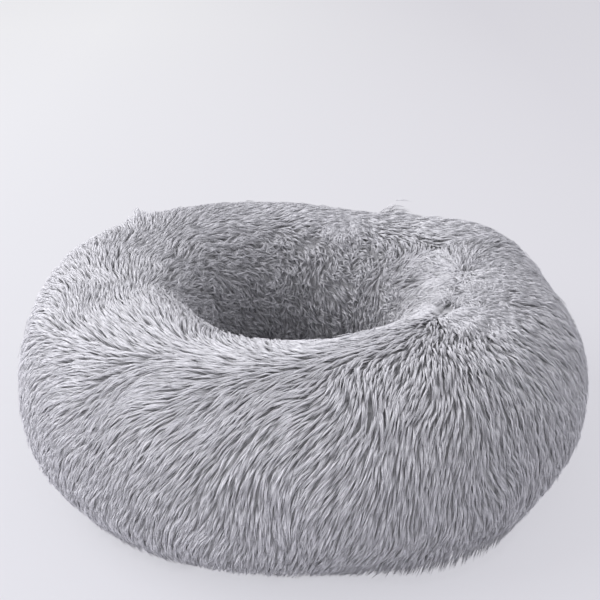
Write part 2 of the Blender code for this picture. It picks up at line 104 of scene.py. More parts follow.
def setStage():
    camera = bpy.data.cameras.new("camera")
    camera.lens = view["lens"]
    camera.sensor_width = view["filmWidth"]
    cameraObject = link(bpy.data.objects.new("camera", camera))
    aim(cameraObject, view["cameraPlace"], view["looksAt"])
    bpy.context.scene.camera = cameraObject

    # floor: a big disc, its colour rising from near to far, painted light that is lighter on the
    # key lamp's side
    turn = np.linspace(0, 2 * math.pi, 97)[:-1]
    rim = np.stack([np.cos(turn), np.sin(turn), np.zeros_like(turn)], axis=-1) * room["floorRadius"]
    mesh = bpy.data.meshes.new("floor")
    mesh.from_pydata(rim.tolist(), [], [list(range(len(turn)))])
    floor = link(bpy.data.objects.new("floor", mesh))
    material, nodes, links = newMaterial("floorPaint")
    shader = nodes["Principled BSDF"]
    shader.inputs["Roughness"].default_value = room["floorRoughness"]
    shader.inputs["Specular IOR Level"].default_value = room["floorSpecular"]
    shader.inputs["Base Color"].default_value = (*room["floorPaint"], 1)
    # paler for the camera alone, so that the pale room shows and a soft shadow stays; this glow is
    # painted light, lighter on the left
    place = nodes.new("ShaderNodeTexCoord")
    split = nodes.new("ShaderNodeSeparateXYZ")
    across = nodes.new("ShaderNodeMapRange")
    across.inputs["From Min"].default_value = room["floorAcross"][0]
    across.inputs["From Max"].default_value = room["floorAcross"][1]
    away = nodes.new("ShaderNodeMapRange")
    away.inputs["From Min"].default_value = room["floorAway"][0]
    away.inputs["From Max"].default_value = room["floorAway"][1]
    # painted light: the floor's camera colour, mixed from left to right and from near to far
    near, far, paintedFloorLight = (nodes.new("ShaderNodeMix") for _ in range(3))
    for mix, colours in ((near, room["paintedLightFloorNear"]), (far, room["paintedLightFloorFar"])):
        mix.data_type = "RGBA"
        mix.inputs["A"].default_value = (*colours[0], 1)
        mix.inputs["B"].default_value = (*colours[1], 1)
        links.new(across.outputs["Result"], mix.inputs["Factor"])
    paintedFloorLight.data_type = "RGBA"
    links.new(near.outputs["Result"], paintedFloorLight.inputs["A"])
    links.new(far.outputs["Result"], paintedFloorLight.inputs["B"])
    glow = nodes.new("ShaderNodeEmission")
    path = nodes.new("ShaderNodeLightPath")
    share = nodes.new("ShaderNodeMath")
    share.operation = "MULTIPLY"
    share.inputs[1].default_value = room["floorShare"]
    mix = nodes.new("ShaderNodeMixShader")
    links.new(place.outputs["Object"], split.inputs[0])
    links.new(split.outputs["X"], across.inputs["Value"])
    links.new(split.outputs["Y"], away.inputs["Value"])
    links.new(away.outputs["Result"], paintedFloorLight.inputs["Factor"])
    # painted contact shadow: ambient occlusion near the bed darkens the floor's glowing camera
    # colour
    contact = nodes.new("ShaderNodeAmbientOcclusion")
    contact.inputs["Distance"].default_value = room["contactReach"]
    darker = nodes.new("ShaderNodeMapRange")
    darker.inputs["To Min"].default_value = room["contactShade"]
    shown = nodes.new("ShaderNodeVectorMath")
    shown.operation = "SCALE"
    links.new(contact.outputs["AO"], darker.inputs["Value"])
    links.new(paintedFloorLight.outputs["Result"], shown.inputs[0])
    links.new(darker.outputs["Result"], shown.inputs["Scale"])
    links.new(shown.outputs["Vector"], glow.inputs["Color"])
    links.new(path.outputs["Is Camera Ray"], share.inputs[0])
    links.new(share.outputs[0], mix.inputs["Fac"])
    links.new(shader.outputs[0], mix.inputs[1])
    links.new(glow.outputs[0], mix.inputs[2])
    links.new(mix.outputs[0], nodes["Material Output"].inputs["Surface"])
    mesh.materials.append(material)

    world = bpy.data.worlds.new("room")
    bpy.context.scene.world = world
    world.use_nodes = True
    nodes, links = world.node_tree.nodes, world.node_tree.links
    light = nodes["Background"]
    light.inputs["Color"].default_value = (*room["skyTint"], 1)
    light.inputs["Strength"].default_value = room["skyLight"]
    shown = nodes.new("ShaderNodeBackground")
    shown.inputs["Color"].default_value = (*room["backdrop"], 1)
    shown.inputs["Strength"].default_value = 1.0
    path = nodes.new("ShaderNodeLightPath")
    mix = nodes.new("ShaderNodeMixShader")
    seen = nodes.new("ShaderNodeMath")
    seen.operation = "MAXIMUM"
    links.new(path.outputs["Is Camera Ray"], seen.inputs[0])
    links.new(path.outputs["Is Glossy Ray"], seen.inputs[1])
    links.new(seen.outputs[0], mix.inputs["Fac"])
    links.new(light.outputs[0], mix.inputs[1])
    links.new(shown.outputs[0], mix.inputs[2])
    links.new(mix.outputs[0], nodes["World Output"].inputs["Surface"])

    addLamp("keyLamp", room["keyPlace"], room["keySize"], room["keyPower"])
    addLamp("fillLamp", room["fillPlace"], room["fillSize"], room["fillPower"])
    bpy.context.scene.view_settings.view_transform = "Standard"


setStage()
print("camera, floor and lamps set")

# meshes from arrays


def smoothStep(low, high, x):
    t = np.clip((x - low) / (high - low), 0, 1)
    return t * t * (3 - 2 * t)


# A mesh from an array of points and arrays of triangles or quads; uv is one pair per point.
def addMesh(name, points, faceArrays, material, body="bed", uv=None, uvName="OFBake",
            merge=False, turn=False):
    points = np.asarray(points, dtype=np.float32).reshape(-1, 3)
    loops = np.concatenate([f.reshape(-1) for f in faceArrays]).astype(np.int32)
    sizes = np.concatenate([np.full(len(f), f.shape[1]) for f in faceArrays]).astype(np.int32)
    starts = np.concatenate([[0], np.cumsum(sizes)[:-1]]).astype(np.int32)
    mesh = bpy.data.meshes.new(name)
    mesh.vertices.add(len(points))
    mesh.vertices.foreach_set("co", points.reshape(-1))
    mesh.loops.add(len(loops))
    mesh.loops.foreach_set("vertex_index", loops)
    mesh.polygons.add(len(sizes))
    mesh.polygons.foreach_set("loop_start", starts)
    mesh.update(calc_edges=True)
    if uv is not None:
        layer = mesh.uv_layers.new(name=uvName)
        layer.data.foreach_set("uv", np.asarray(uv, dtype=np.float32)[loops].reshape(-1))
    mesh.validate()
    if merge or turn:  # doubles and what is left of flat faces go, then every face is turned out
        shape = bmesh.new()
        shape.from_mesh(mesh)
        if merge:
            bmesh.ops.remove_doubles(shape, verts=shape.verts, dist=1e-7)
            wires = [edge for edge in shape.edges if edge.is_wire]
            bmesh.ops.delete(shape, geom=wires, context="EDGES")
        if turn:
            bmesh.ops.recalc_face_normals(shape, faces=shape.faces)
        shape.to_mesh(mesh)
        shape.free()
    mesh.polygons.foreach_set("use_smooth", np.full(len(mesh.polygons), True))
    mesh.update()
    mesh.materials.append(material)
    obj = link(bpy.data.objects.new(name, mesh))
    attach(obj, body)
    return obj


# Quads of a grid of rows by columns, closed round either way if asked.
def gridQuads(rows, columns, closedRows=False, closedColumns=False, first=0, flip=False):
    i = np.arange(rows if closedRows else rows - 1)[:, None]
    j = np.arange(columns if closedColumns else columns - 1)[None, :]
    k, l = (i + 1) % rows, (j + 1) % columns
    quads = np.stack([i * columns + j, k * columns + j, k * columns + l, i * columns + l], axis=-1)
    quads = quads.reshape(-1, 4) + first
    return quads[:, ::-1] if flip else quads


# the ring's shape

ring = {
    "crestRadius": 0.180,  # middle of the section, under the crest
    "outerHalf": 0.120,  # from there out to the widest point
    "innerHalf": 0.085,  # and in to the well's wall
    "widestHeight": 0.082,
    "height": 0.190,
    "squareness": 2.3,  # 2 gives ellipses, more gives fuller shoulders
    "outerSeamHeight": 0.0078,
    "wellSeamHeight": 0.029,
    "fullSide": 0.007,  # how much fuller two opposite sides are
    "fullSideTurn": -45,  # and where, in degrees round the ring
    "lump": 0.0022,
    "lumpCounts": (5, 8),  # lumps in one round
    "seamTurn": 5,  # where the cover's cross seam is
    "crease": 0.007,  # its depth there
    "creaseSpread": 6,  # degrees round the ring
    "creasePlace": 100,  # its middle and reach as angles of the section
    "creaseReach": 45,
    "gather": 0.004,  # depth of the gathers above the well's seam
    "gatherCount": 11,
    "gatherPlace": 0.86,  # share of the section, from the outer seam to the well's
    "gatherSpread": 0.09,
    "unevenPlaces": (  # turn, section angle, their spreads in degrees, and how much fuller
        (31, 48, 21, 32, 0.017),
        (145, 50, 28, 32, 0.011),
        (76, 62, 15, 30, -0.010),
        (-80, 88, 20, 24, 0.006),
        (-116, 98, 15, 20, -0.005),
        (-126, -20, 24, 36, 0.009),
    ),
    "pileDepth": 0.012,
    "seamWall": 0.003,  # what is left of it at the seams
    "backing": 0.002,
    "groundPile": 0.0052,  # backing and the short dense pile on it together
    "groundShare": 0.6,  # the most that these take of the depth
    "rows": 264,
    "columns": 85,
}


# Turn from a place given in degrees, between minus and plus half a round.
def turnFrom(turn, degrees):
    return (turn - math.radians(degrees) + math.pi) % (2 * math.pi) - math.pi


# Angle past the widest level at which the section's curve comes down to a height:
# the arc sine of the drop's share to the power of half the squareness.
def seamAngle(height):
    share = (ring["widestHeight"] - height) / ring["widestHeight"]
    return math.asin(share ** (ring["squareness"] / 2))


outerEnd = -seamAngle(ring["outerSeamHeight"])
innerEnd = math.pi + seamAngle(ring["wellSeamHeight"])


# Four superellipse quarters: each coordinate is a half-width times the sine or cosine to the power
# of two over the squareness. Gives radius, height and the outward normal.
def sectionCurve(angle):
    power = ring["squareness"]
    c, s = np.cos(angle), np.sin(angle)
    across = np.sign(c) * np.abs(c) ** (2 / power)
    up = np.sign(s) * np.abs(s) ** (2 / power)
    half = np.where(c >= 0, ring["outerHalf"], ring["innerHalf"])
    rise = np.where(s >= 0, ring["height"] - ring["widestHeight"], ring["widestHeight"])
    normalR = np.sign(across) * np.abs(across) ** (power - 1) / half
    normalZ = np.sign(up) * np.abs(up) ** (power - 1) / rise
    size = np.hypot(normalR, normalZ)
    r = ring["crestRadius"] + half * across
    return r, ring["widestHeight"] + rise * up, normalR / size, normalZ / size


def sectionShare(angle):
    return np.clip((angle - outerEnd) / (innerEnd - outerEnd), 0, 1)


# Depth of the pile: a thin wall at the seams plus the rest times the root of a half sine.
def wallAt(angle):
    window = np.sqrt(np.abs(np.sin(math.pi * sectionShare(angle))))
    return ring["seamWall"] + (ring["pileDepth"] - ring["seamWall"]) * window


def groundAt(angle):
    return np.minimum(ring["groundPile"], ring["groundShare"] * wallAt(angle))


# The ring's unevenness: fuller sides, cosine lumps, a crease at the cross seam, gathers by the well
# and places, each a bell curve over turn and section angle.
def unevenness(turn, angle):
    share = sectionShare(angle)
    window = np.where((share > 0) & (share < 1), np.abs(np.sin(math.pi * share)) ** 0.7, 0)
    full = ring["fullSide"] * np.cos(2 * (turn - math.radians(ring["fullSideTurn"])))
    full = full * np.maximum(np.cos(angle), 0)
    counts = ring["lumpCounts"]
    lumps = ring["lump"] * sum(np.cos(n * turn + n) for n in counts) / len(counts)
    fromSeam = turnFrom(turn, ring["seamTurn"])
    crease = ring["crease"] * np.exp(-((fromSeam / math.radians(ring["creaseSpread"])) ** 2)
                                     - ((angle - math.radians(ring["creasePlace"]))
                                        / math.radians(ring["creaseReach"])) ** 2)
    nearWell = np.exp(-(((share - ring["gatherPlace"]) / ring["gatherSpread"]) ** 2))
    gathers = ring["gather"] * nearWell * (1 - np.cos(ring["gatherCount"] * fromSeam)) / 2
    places = 0
    for placeTurn, placeAngle, turnSpread, angleSpread, fuller in ring["unevenPlaces"]:
        offTurn = turnFrom(turn, placeTurn)
        offAngle = angle - math.radians(placeAngle)
        places = places + fuller * np.exp(-((offTurn / math.radians(turnSpread)) ** 2)
                                          - (offAngle / math.radians(angleSpread)) ** 2)
    return window * (full + lumps + places - crease - gathers)


# The section carried round the bed's axis, a depth under its skin and never under a floor level.
def ringPoints(turn, angle, depth, floor=0.0):
    r, z, normalR, normalZ = sectionCurve(angle)
    out = unevenness(turn, angle) - depth
    r = r + normalR * out
    z = np.maximum(z + normalZ * out, floor)
    return np.stack([r * np.cos(turn), r * np.sin(turn), z], axis=-1)


# Section angles at equal steps along the curve's length.
def evenAngles(count):
    fine = np.linspace(outerEnd, innerEnd, 6001)
    r, z = sectionCurve(fine)[:2]
    length = np.concatenate([[0], np.cumsum(np.hypot(np.diff(r), np.diff(z)))])
    angles = np.interp(np.linspace(0, length[-1], count), length, fine)
    return angles, length[-1], np.interp(math.pi / 2, fine, length) / length[-1]


sectionAngles, sectionLength, crestShare = evenAngles(ring["columns"])
print("section length", round(sectionLength, 4), "crest at", round(crestShare, 3))


# surfaces that pile grows on


# Slopes of a grid of points along its rows and columns, per unit of each, and its normals.
def surfaceOf(points, closed):
    rows, columns = points.shape[:2]
    if closed:
        alongU = (np.roll(points, -1, axis=0) - np.roll(points, 1, axis=0)) * rows / 2
    else:
        alongU = np.gradient(points, 1 / (rows - 1), axis=0)
    alongV = np.gradient(points, 1 / (columns - 1), axis=1)
    normal = np.cross(alongU, alongV)
    normal /= np.maximum(np.linalg.norm(normal, axis=-1, keepdims=True), 1e-12)
    return {"points": points, "alongU": alongU, "alongV": alongV, "normal": normal,
            "closed": closed}


# Values of a grid at shares u and v, mixed in proportion between its four nearest points.
def sampleGrid(surface, key, u, v):
    grid = surface[key]
    rows, columns = grid.shape[:2]
    if surface["closed"]:
        a = (u % 1.0) * rows
        i = np.floor(a).astype(int)
        fa = a - i
        i = i % rows
        k = (i + 1) % rows
    else:
        a = np.clip(u, 0, 1) * (rows - 1)
        i = np.minimum(np.floor(a).astype(int), rows - 2)
        fa = a - i
        k = i + 1
    b = np.clip(v, 0, 1) * (columns - 1)
    j = np.minimum(np.floor(b).astype(int), columns - 2)
    fb = b - j
    fa, fb = fa[..., None], fb[..., None]
    low = grid[i, j] * (1 - fb) + grid[i, j + 1] * fb
    high = grid[k, j] * (1 - fb) + grid[k, j + 1] * fb
    value = low * (1 - fa) + high * fa
    if key == "points":  # past either edge it runs on straight
        value = value + sampleGrid(surface, "alongV", u, v) * (v - np.clip(v, 0, 1))[..., None]
    return value


def unit(vectors):
    return vectors / np.maximum(np.linalg.norm(vectors, axis=-1, keepdims=True), 1e-12)


# Smooth noise between about -1 and 1: a sum of sine waves of one length in random directions.
def waves(points, wavelength, seed, count=9):
    rng = np.random.default_rng(seed)
    direction = unit(rng.normal(size=(count, 3)))
    step = 2 * math.pi / wavelength * rng.uniform(0.7, 1.35, count)
    phase = rng.uniform(0, 2 * math.pi, count)
    total = sum(np.sin(points @ d * k + p) for d, k, p in zip(direction, step, phase))
    return total / math.sqrt(count / 2)


# pile

# ring pile; distances out from the crest are along the skin, and minus is towards the well
ringPile = {
    "seed": 11,
    "locks": 39500,
    "innerDensity": 1.25,  # times as many to an area on the well's wall
    "innerWidth": 0.84,  # width of the strands there, as a share of the others'
    "strands": 4,  # to a lock
    "length": 0.036,
    "innerLength": 0.024,
    "curlLength": 0.020,
    "width": 0.00072,
    "thickness": 0.5,  # of the width
    "rootSpread": 0.0015,  # how far a lock's strands stand apart at its root
    "tipSpread": 0.0003,  # and at its tip
    "arch": 0.7,  # how far its outer strands lie lower, of how far they stand off its middle
    "edgePaintedShade": 0.30,  # and how much darker they are, as painted shade between locks
    "wave": 0.0012,  # how far a strand waves sideways
    "waveCount": 1.6,
    "tuftSize": 0.0075,
    "shoulder": 0.24,  # radius at which tufts have that size round the ring
    "tuftPull": 0.05,  # how far neighbouring locks lean together
    "crestLift": 0.0015,  # how much higher locks lie on the crest and inside it
    "lowest": 0.0007,  # nothing lies lower over the floor
    "napStart": (34, 88),  # degrees clockwise from the seam where the crest's nap sets in
    "napEnd": (318, 350),  # and where it dies away
    "fall": (0.10, 9, 60),  # pull downwards at the crest, and by distance and by its square
    "steady": (0.25, 0.02),  # more of it where the nap is weak, and how far from the crest
    "partings": ((5, 0.000, 0.034, 1.4),),  # turn, distance out, reach, push
    "curls": (  # turn, distance out, reach and share of curl
        (5, 0.000, 0.036, 0.5),
        (-14, 0.004, 0.030, 0.9),
        (-30, 0.014, 0.024, 0.5),
        (-33, -0.012, 0.022, 0.35),
        (72, -0.030, 0.030, 0.5),
        (-21, -0.024, 0.020, 0.8),
    ),
    "curlShare": 0.018,  # of all locks, set more densely in each of these places
    "tufts": (  # turn, distance out, reach, lift and pull of locks that stand up together
        (143, 0.052, 0.014, 0.014, 0.7),
        (63, 0.040, 0.009, 0.027, 0.35),
        (-160, 0.085, 0.045, 0.004, 0.0),
        (168, 0.070, 0.040, 0.004, 0.0),
    ),
    "calm": (  # turn, distance out, reach, and how evenly locks lie
        (-172, 0.06, 0.12, 1.0),
        (-125, 0.04, 0.07, 0.8),
    ),
    "calmCrest": 0.055,  # they lie evenly this far from the crest too
    "calmWidth": 1.25,  # times as wide there, so that they close up
    "calmDip": 0.2,  # and this share lower
    "strays": 0.06,  # share of locks that stand off
    "strayLift": 0.002,
    "fly": (  # turn, distance out, reach, and how straight locks stay
        (-165, 0.07, 0.09, 0.8),
        (150, 0.06, 0.06, 0.6),
        (-140, -0.04, 0.045, 0.8),
        (-110, -0.04, 0.045, 0.9),
        (-80, -0.04, 0.045, 0.8),
    ),
    "fans": (  # turn, distance out, reach, and how much more the nap turns outwards
        (-79, 0.048, 0.022, 1.6),
        (-120, 0.090, 0.030, -0.7),
        (-62, 0.120, 0.030, 0.8),
        (-125, -0.035, 0.035, -0.8),
        (-95, -0.035, 0.035, -0.9),
        (-158, 0.080, 0.080, -0.7),
    ),
    "shares": (0.0, 0.5, 1.0),  # knots along a strand
    "taper": (0.85, 1.0, 0.0),  # its width at them
    # turn, spread, and share of the fringe that hangs to the floor
    "hang": ((-54, 26, 0.8), (-128, 24, 0.5)),
    "hangEverywhere": 0.3,
    "pieces": 10,
}


# Distance over the skin from a place given by turn and distance out, and the way away from it.
def fromPlace(turn, out, placeTurn, placeOut):
    radius = ring["crestRadius"] + np.maximum(out, -0.06) * 0.6  # about that of the skin there
    around = turnFrom(turn, placeTurn) * radius
    away = out - placeOut
    return np.hypot(around, away), around, away


# How much a place counts at a point: a bell curve over the distance from it.
def nearPlace(turn, out, placeTurn, placeOut, reach):
    return np.exp(-((fromPlace(turn, out, placeTurn, placeOut)[0] / reach) ** 2))


# The nap's direction as parts round the ring (anticlockwise is plus) and out from the crest.
# Along the crest it runs clockwise; away from it the pull downwards grows with the distance
# and its square.
def ringNap(turn, out, noise):
    fromSeam = (math.radians(ring["seamTurn"]) - turn) % (2 * math.pi)
    strength = smoothStep(*np.radians(ringPile["napStart"]), fromSeam)
    strength = strength * (1 - smoothStep(*np.radians(ringPile["napEnd"]), fromSeam))
    far = np.abs(out)
    atCrest, byDistance, bySquare = ringPile["fall"]
    down = np.sign(out) * (byDistance * far + bySquare * far**2) + atCrest
    around = -strength
    steady, steadyReach = ringPile["steady"]
    down = down + steady * np.exp(-((far / steadyReach) ** 2)) * (1 - strength)
    for placeTurn, placeOut, reach, push in ringPile["partings"]:
        distance, a, b = fromPlace(turn, out, placeTurn, placeOut)
        weight = push * np.exp(-((distance / reach) ** 2)) / np.maximum(distance, 0.004)
        around = around + a * weight
        down = down + b * weight
    for placeTurn, placeOut, reach, push in ringPile["fans"]:
        down = down + push * nearPlace(turn, out, placeTurn, placeOut, reach)
    angle = np.arctan2(down, around) + noise
    return np.cos(angle), np.sin(angle)


# Lock paths: from each root a step at a time along the nap over the surface, then lifted off it
# by a height that rises like a quarter sine and sinks a little towards the tip, with a sine wave
# sideways and a smaller one up and down.
def lockPaths(surface, u, v, nap, length, height, wave, waveCount, pull, target, hang, fly,
              rng, shares):
    path = []
    substeps = 2  # between two knots
    uu, vv = u.copy(), v.copy()
    last = 0.0
    for share in shares:
        for _ in range(substeps):
            if share > 0:
                du, dv = nap(uu, vv)
                step = length * (share - last) / substeps
                uu = uu + du * step
                vv = vv + dv * step
        last = share
        shift = pull * share**1.5
        path.append((uu + (target[0] - u) * shift, vv + (target[1] - v) * shift))
    uPath = np.stack([p[0] for p in path], axis=1)
    vPath = np.stack([p[1] for p in path], axis=1)
    points = sampleGrid(surface, "points", uPath, vPath)
    normal = unit(sampleGrid(surface, "normal", uPath, vPath))
    along = unit(np.gradient(points, axis=1))
    side = unit(np.cross(along, normal))
    share = np.asarray(shares)[None, :]
    rise = np.sin(np.minimum(share / 0.62, 1) * math.pi / 2)
    lift = rise * (1 - 0.22 * smoothStep(0.6, 1, share))
    phase = rng.uniform(0, 2 * math.pi, len(u))[:, None]
    swing = np.sin(share * waveCount * 2 * math.pi + phase) - np.sin(phase)
    rooted = 0.0008  # roots start this far under the skin
    points = points + normal * (height[:, None] * lift - rooted)[..., None]
    if hang is not None:  # some drop from where they leave the skin instead of following it round
        drop = points[:, :1] + normal[:, :1] * (0.5 * height)[:, None, None]
        drop = drop + np.array([0, 0, -1.0]) * (length[:, None] * share)[..., None]
        points = points + (drop - points) * (hang[:, None] * smoothStep(0.0, 0.7, share))[..., None]
    if fly is not None:  # others keep straight on as they left the skin
        free = points[:, :1] + along[:, :1] * (length[:, None] * share)[..., None]
        free = free + normal[:, :1] * (height[:, None] * lift)[..., None]
        points = points + (free - points) * (fly[:, None] * share)[..., None]
    points = points + side * (wave[:, None] * swing * np.sqrt(share))[..., None]
    bob = np.sin(share * waveCount * 1.3 * 2 * math.pi + 2.1 * phase) * wave[:, None] * 0.5 * share
    return points + normal * bob[..., None], side, normal


# Strands: each lock's path, shifted sideways and lengthwise by amounts that shrink towards the tip,
# as a flattened three-sided taper that ends in a point.
def strandMesh(paths, side, normal, pile, shade, shares, lowest, rng, widths=None):
    locks, knots = paths.shape[:2]
    count = pile["strands"]
    share = np.asarray(shares)[None, None, :]
    spread = (np.arange(count)[None, :] - (count - 1) / 2) / (count / 2)
    spread = spread + 0.35 * rng.uniform(-1, 1, (locks, count))
    narrowing = pile["rootSpread"] * (1 - share) ** 1.4 + pile["tipSpread"] * (1 - share**3)
    sideways = spread[..., None] * narrowing
    arch = -pile["arch"] * (spread[..., None] ** 2) * narrowing
    # a strand ends where its lock comes down to the floor
    over = paths[:, :, 2] - 1.5 * lowest
    above, below = over[:, :-1], over[:, 1:]
    part = np.where((above > 0) & (below < 0), above / (above - below + 1e-9), 9)
    landing = np.clip(np.min(np.asarray(shares)[:-1] + part * np.diff(shares), axis=1), 0.3, 1)
    reach = (rng.uniform(0.78, 1.0, (locks, count)) * landing[:, None])[..., None]
    # along the path by the strand's own length: knots are mixed from the lock's by linear steps
    position = np.interp((share * reach).reshape(-1), np.asarray(shares), np.arange(knots))
    position = position.reshape(locks, count, knots)
    low = np.minimum(np.floor(position).astype(int), knots - 2)
    part = (position - low)[..., None]
    row = np.arange(locks)[:, None, None]
    middle = paths[row, low] * (1 - part) + paths[row, low + 1] * part
    sideAt = side[:, None]
    normalAt = normal[:, None]
    jitter = rng.normal(0, 0.00045, (locks, count, knots, 1))
    middle = middle + sideAt * (sideways[..., None] + jitter * share[..., None])
    lift = rng.normal(0, 0.0006, (locks, count, 1)) * share
    middle = middle + normalAt * (arch + lift)[..., None]
    width = pile["width"] * np.array(pile["taper"])[None, None, :, None] / 2
    width = width * rng.uniform(0.8, 1.2, (locks, count, 1, 1))
    if widths is not None:
        width = width * widths[:, None, None, None]
    left = middle - sideAt * width
    right = middle + sideAt * width
    top = middle + normalAt * width * 2 * pile["thickness"]
    rings = np.stack([left, right, top], axis=3)[:, :, :-1]  # locks, strands, knots - 1, 3, xyz
    tips = middle[:, :, -1:]
    points = np.concatenate([rings.reshape(locks, count, -1, 3), tips], axis=2)
    level = points[..., 2]  # what would be under the floor lies folded on it
    points[..., 2] = np.where(level < lowest, lowest + 0.12 * (lowest - level), level)
    per = points.shape[2]
    last = knots - 2
    faces = []
    for k in range(last):
        for a, b in ((0, 1), (1, 2), (2, 0)):
            faces.append((3 * k + a, 3 * k + b, 3 * k + 3 + b))
            faces.append((3 * k + a, 3 * k + 3 + b, 3 * k + 3 + a))
    for a, b in ((0, 1), (1, 2), (2, 0)):
        faces.append((3 * last + a, 3 * last + b, 3 * last + 3))
    faces.append((2, 1, 0))
    starts = np.arange(locks * count)[:, None, None] * per
    triangles = (np.asarray(faces)[None] + starts).reshape(-1, 3)
    # uv: the strand's shade, a random tone less painted shade on a lock's outer strands, with a
    # little width, and how far along it
    strandShade = shade[:, None] + rng.normal(0, 0.07, (locks, count))
    # painted shade: a lock's outer strands are made darker
    strandShade = strandShade - pile["edgePaintedShade"] * (np.abs(spread) - 0.45)
    strandShade = np.clip(strandShade, 0.02, 0.98)
    offsets = np.array([-0.006, 0.006, 0.0] * (knots - 1) + [0.0])
    heights = np.concatenate([np.repeat(np.asarray(shares)[:-1], 3), [1.0]])
    uvU = strandShade[..., None] + offsets
    uvV = np.broadcast_to(heights, uvU.shape) * 0.98 + 0.01
    return points.reshape(-1, 3), triangles, np.stack([uvU, uvV], axis=-1).reshape(-1, 2)


# Evenly strewn roots: two irrational steps, the second through the running share of a density.
def strewRoots(count, density, rng):
    g = 1.32471795724  # root of g cubed = g + 1
    i = np.arange(count)
    u = (0.5 + i / g) % 1.0
    w = (0.5 + i / g**2) % 1.0
    u = u + rng.normal(0, 0.35, count) / math.sqrt(count)
    w = np.clip(w + rng.normal(0, 0.35, count) / math.sqrt(count), 0.0005, 0.9995)
    share = np.linspace(0, 1, len(density))
    running = np.concatenate([[0], np.cumsum((density[1:] + density[:-1]) / 2)])
    return u % 1.0, np.interp(w, running / running[-1], share)


# Middles of the tufts that neighbouring locks lean to: cells of one size, each middle strewn.
def tuftOf(u, v, lengthU, lengthV, size, rng):
    rows, columns = max(int(lengthU / size), 1), max(int(lengthV / size), 1)
    shake = rng.uniform(0.15, 0.85, (rows, columns, 2))
    column = np.clip((v * columns).astype(int), 0, columns - 1)
    stagger = (column % 2) * 0.5
    row = np.floor(u * rows + stagger).astype(int)
    spot = shake[row % rows, column]
    shade = rng.normal(0, 1, (rows, columns))[row % rows, column]
    return (row - stagger + spot[:, 0]) / rows, (column + spot[:, 1]) / columns, shade


def ringSkin():
    turn = 2 * math.pi * np.arange(ring["rows"]) / ring["rows"]
    turn, angle = np.meshgrid(turn, sectionAngles, indexing="ij")
    return ringPoints(turn, angle, wallAt(angle) - groundAt(angle))


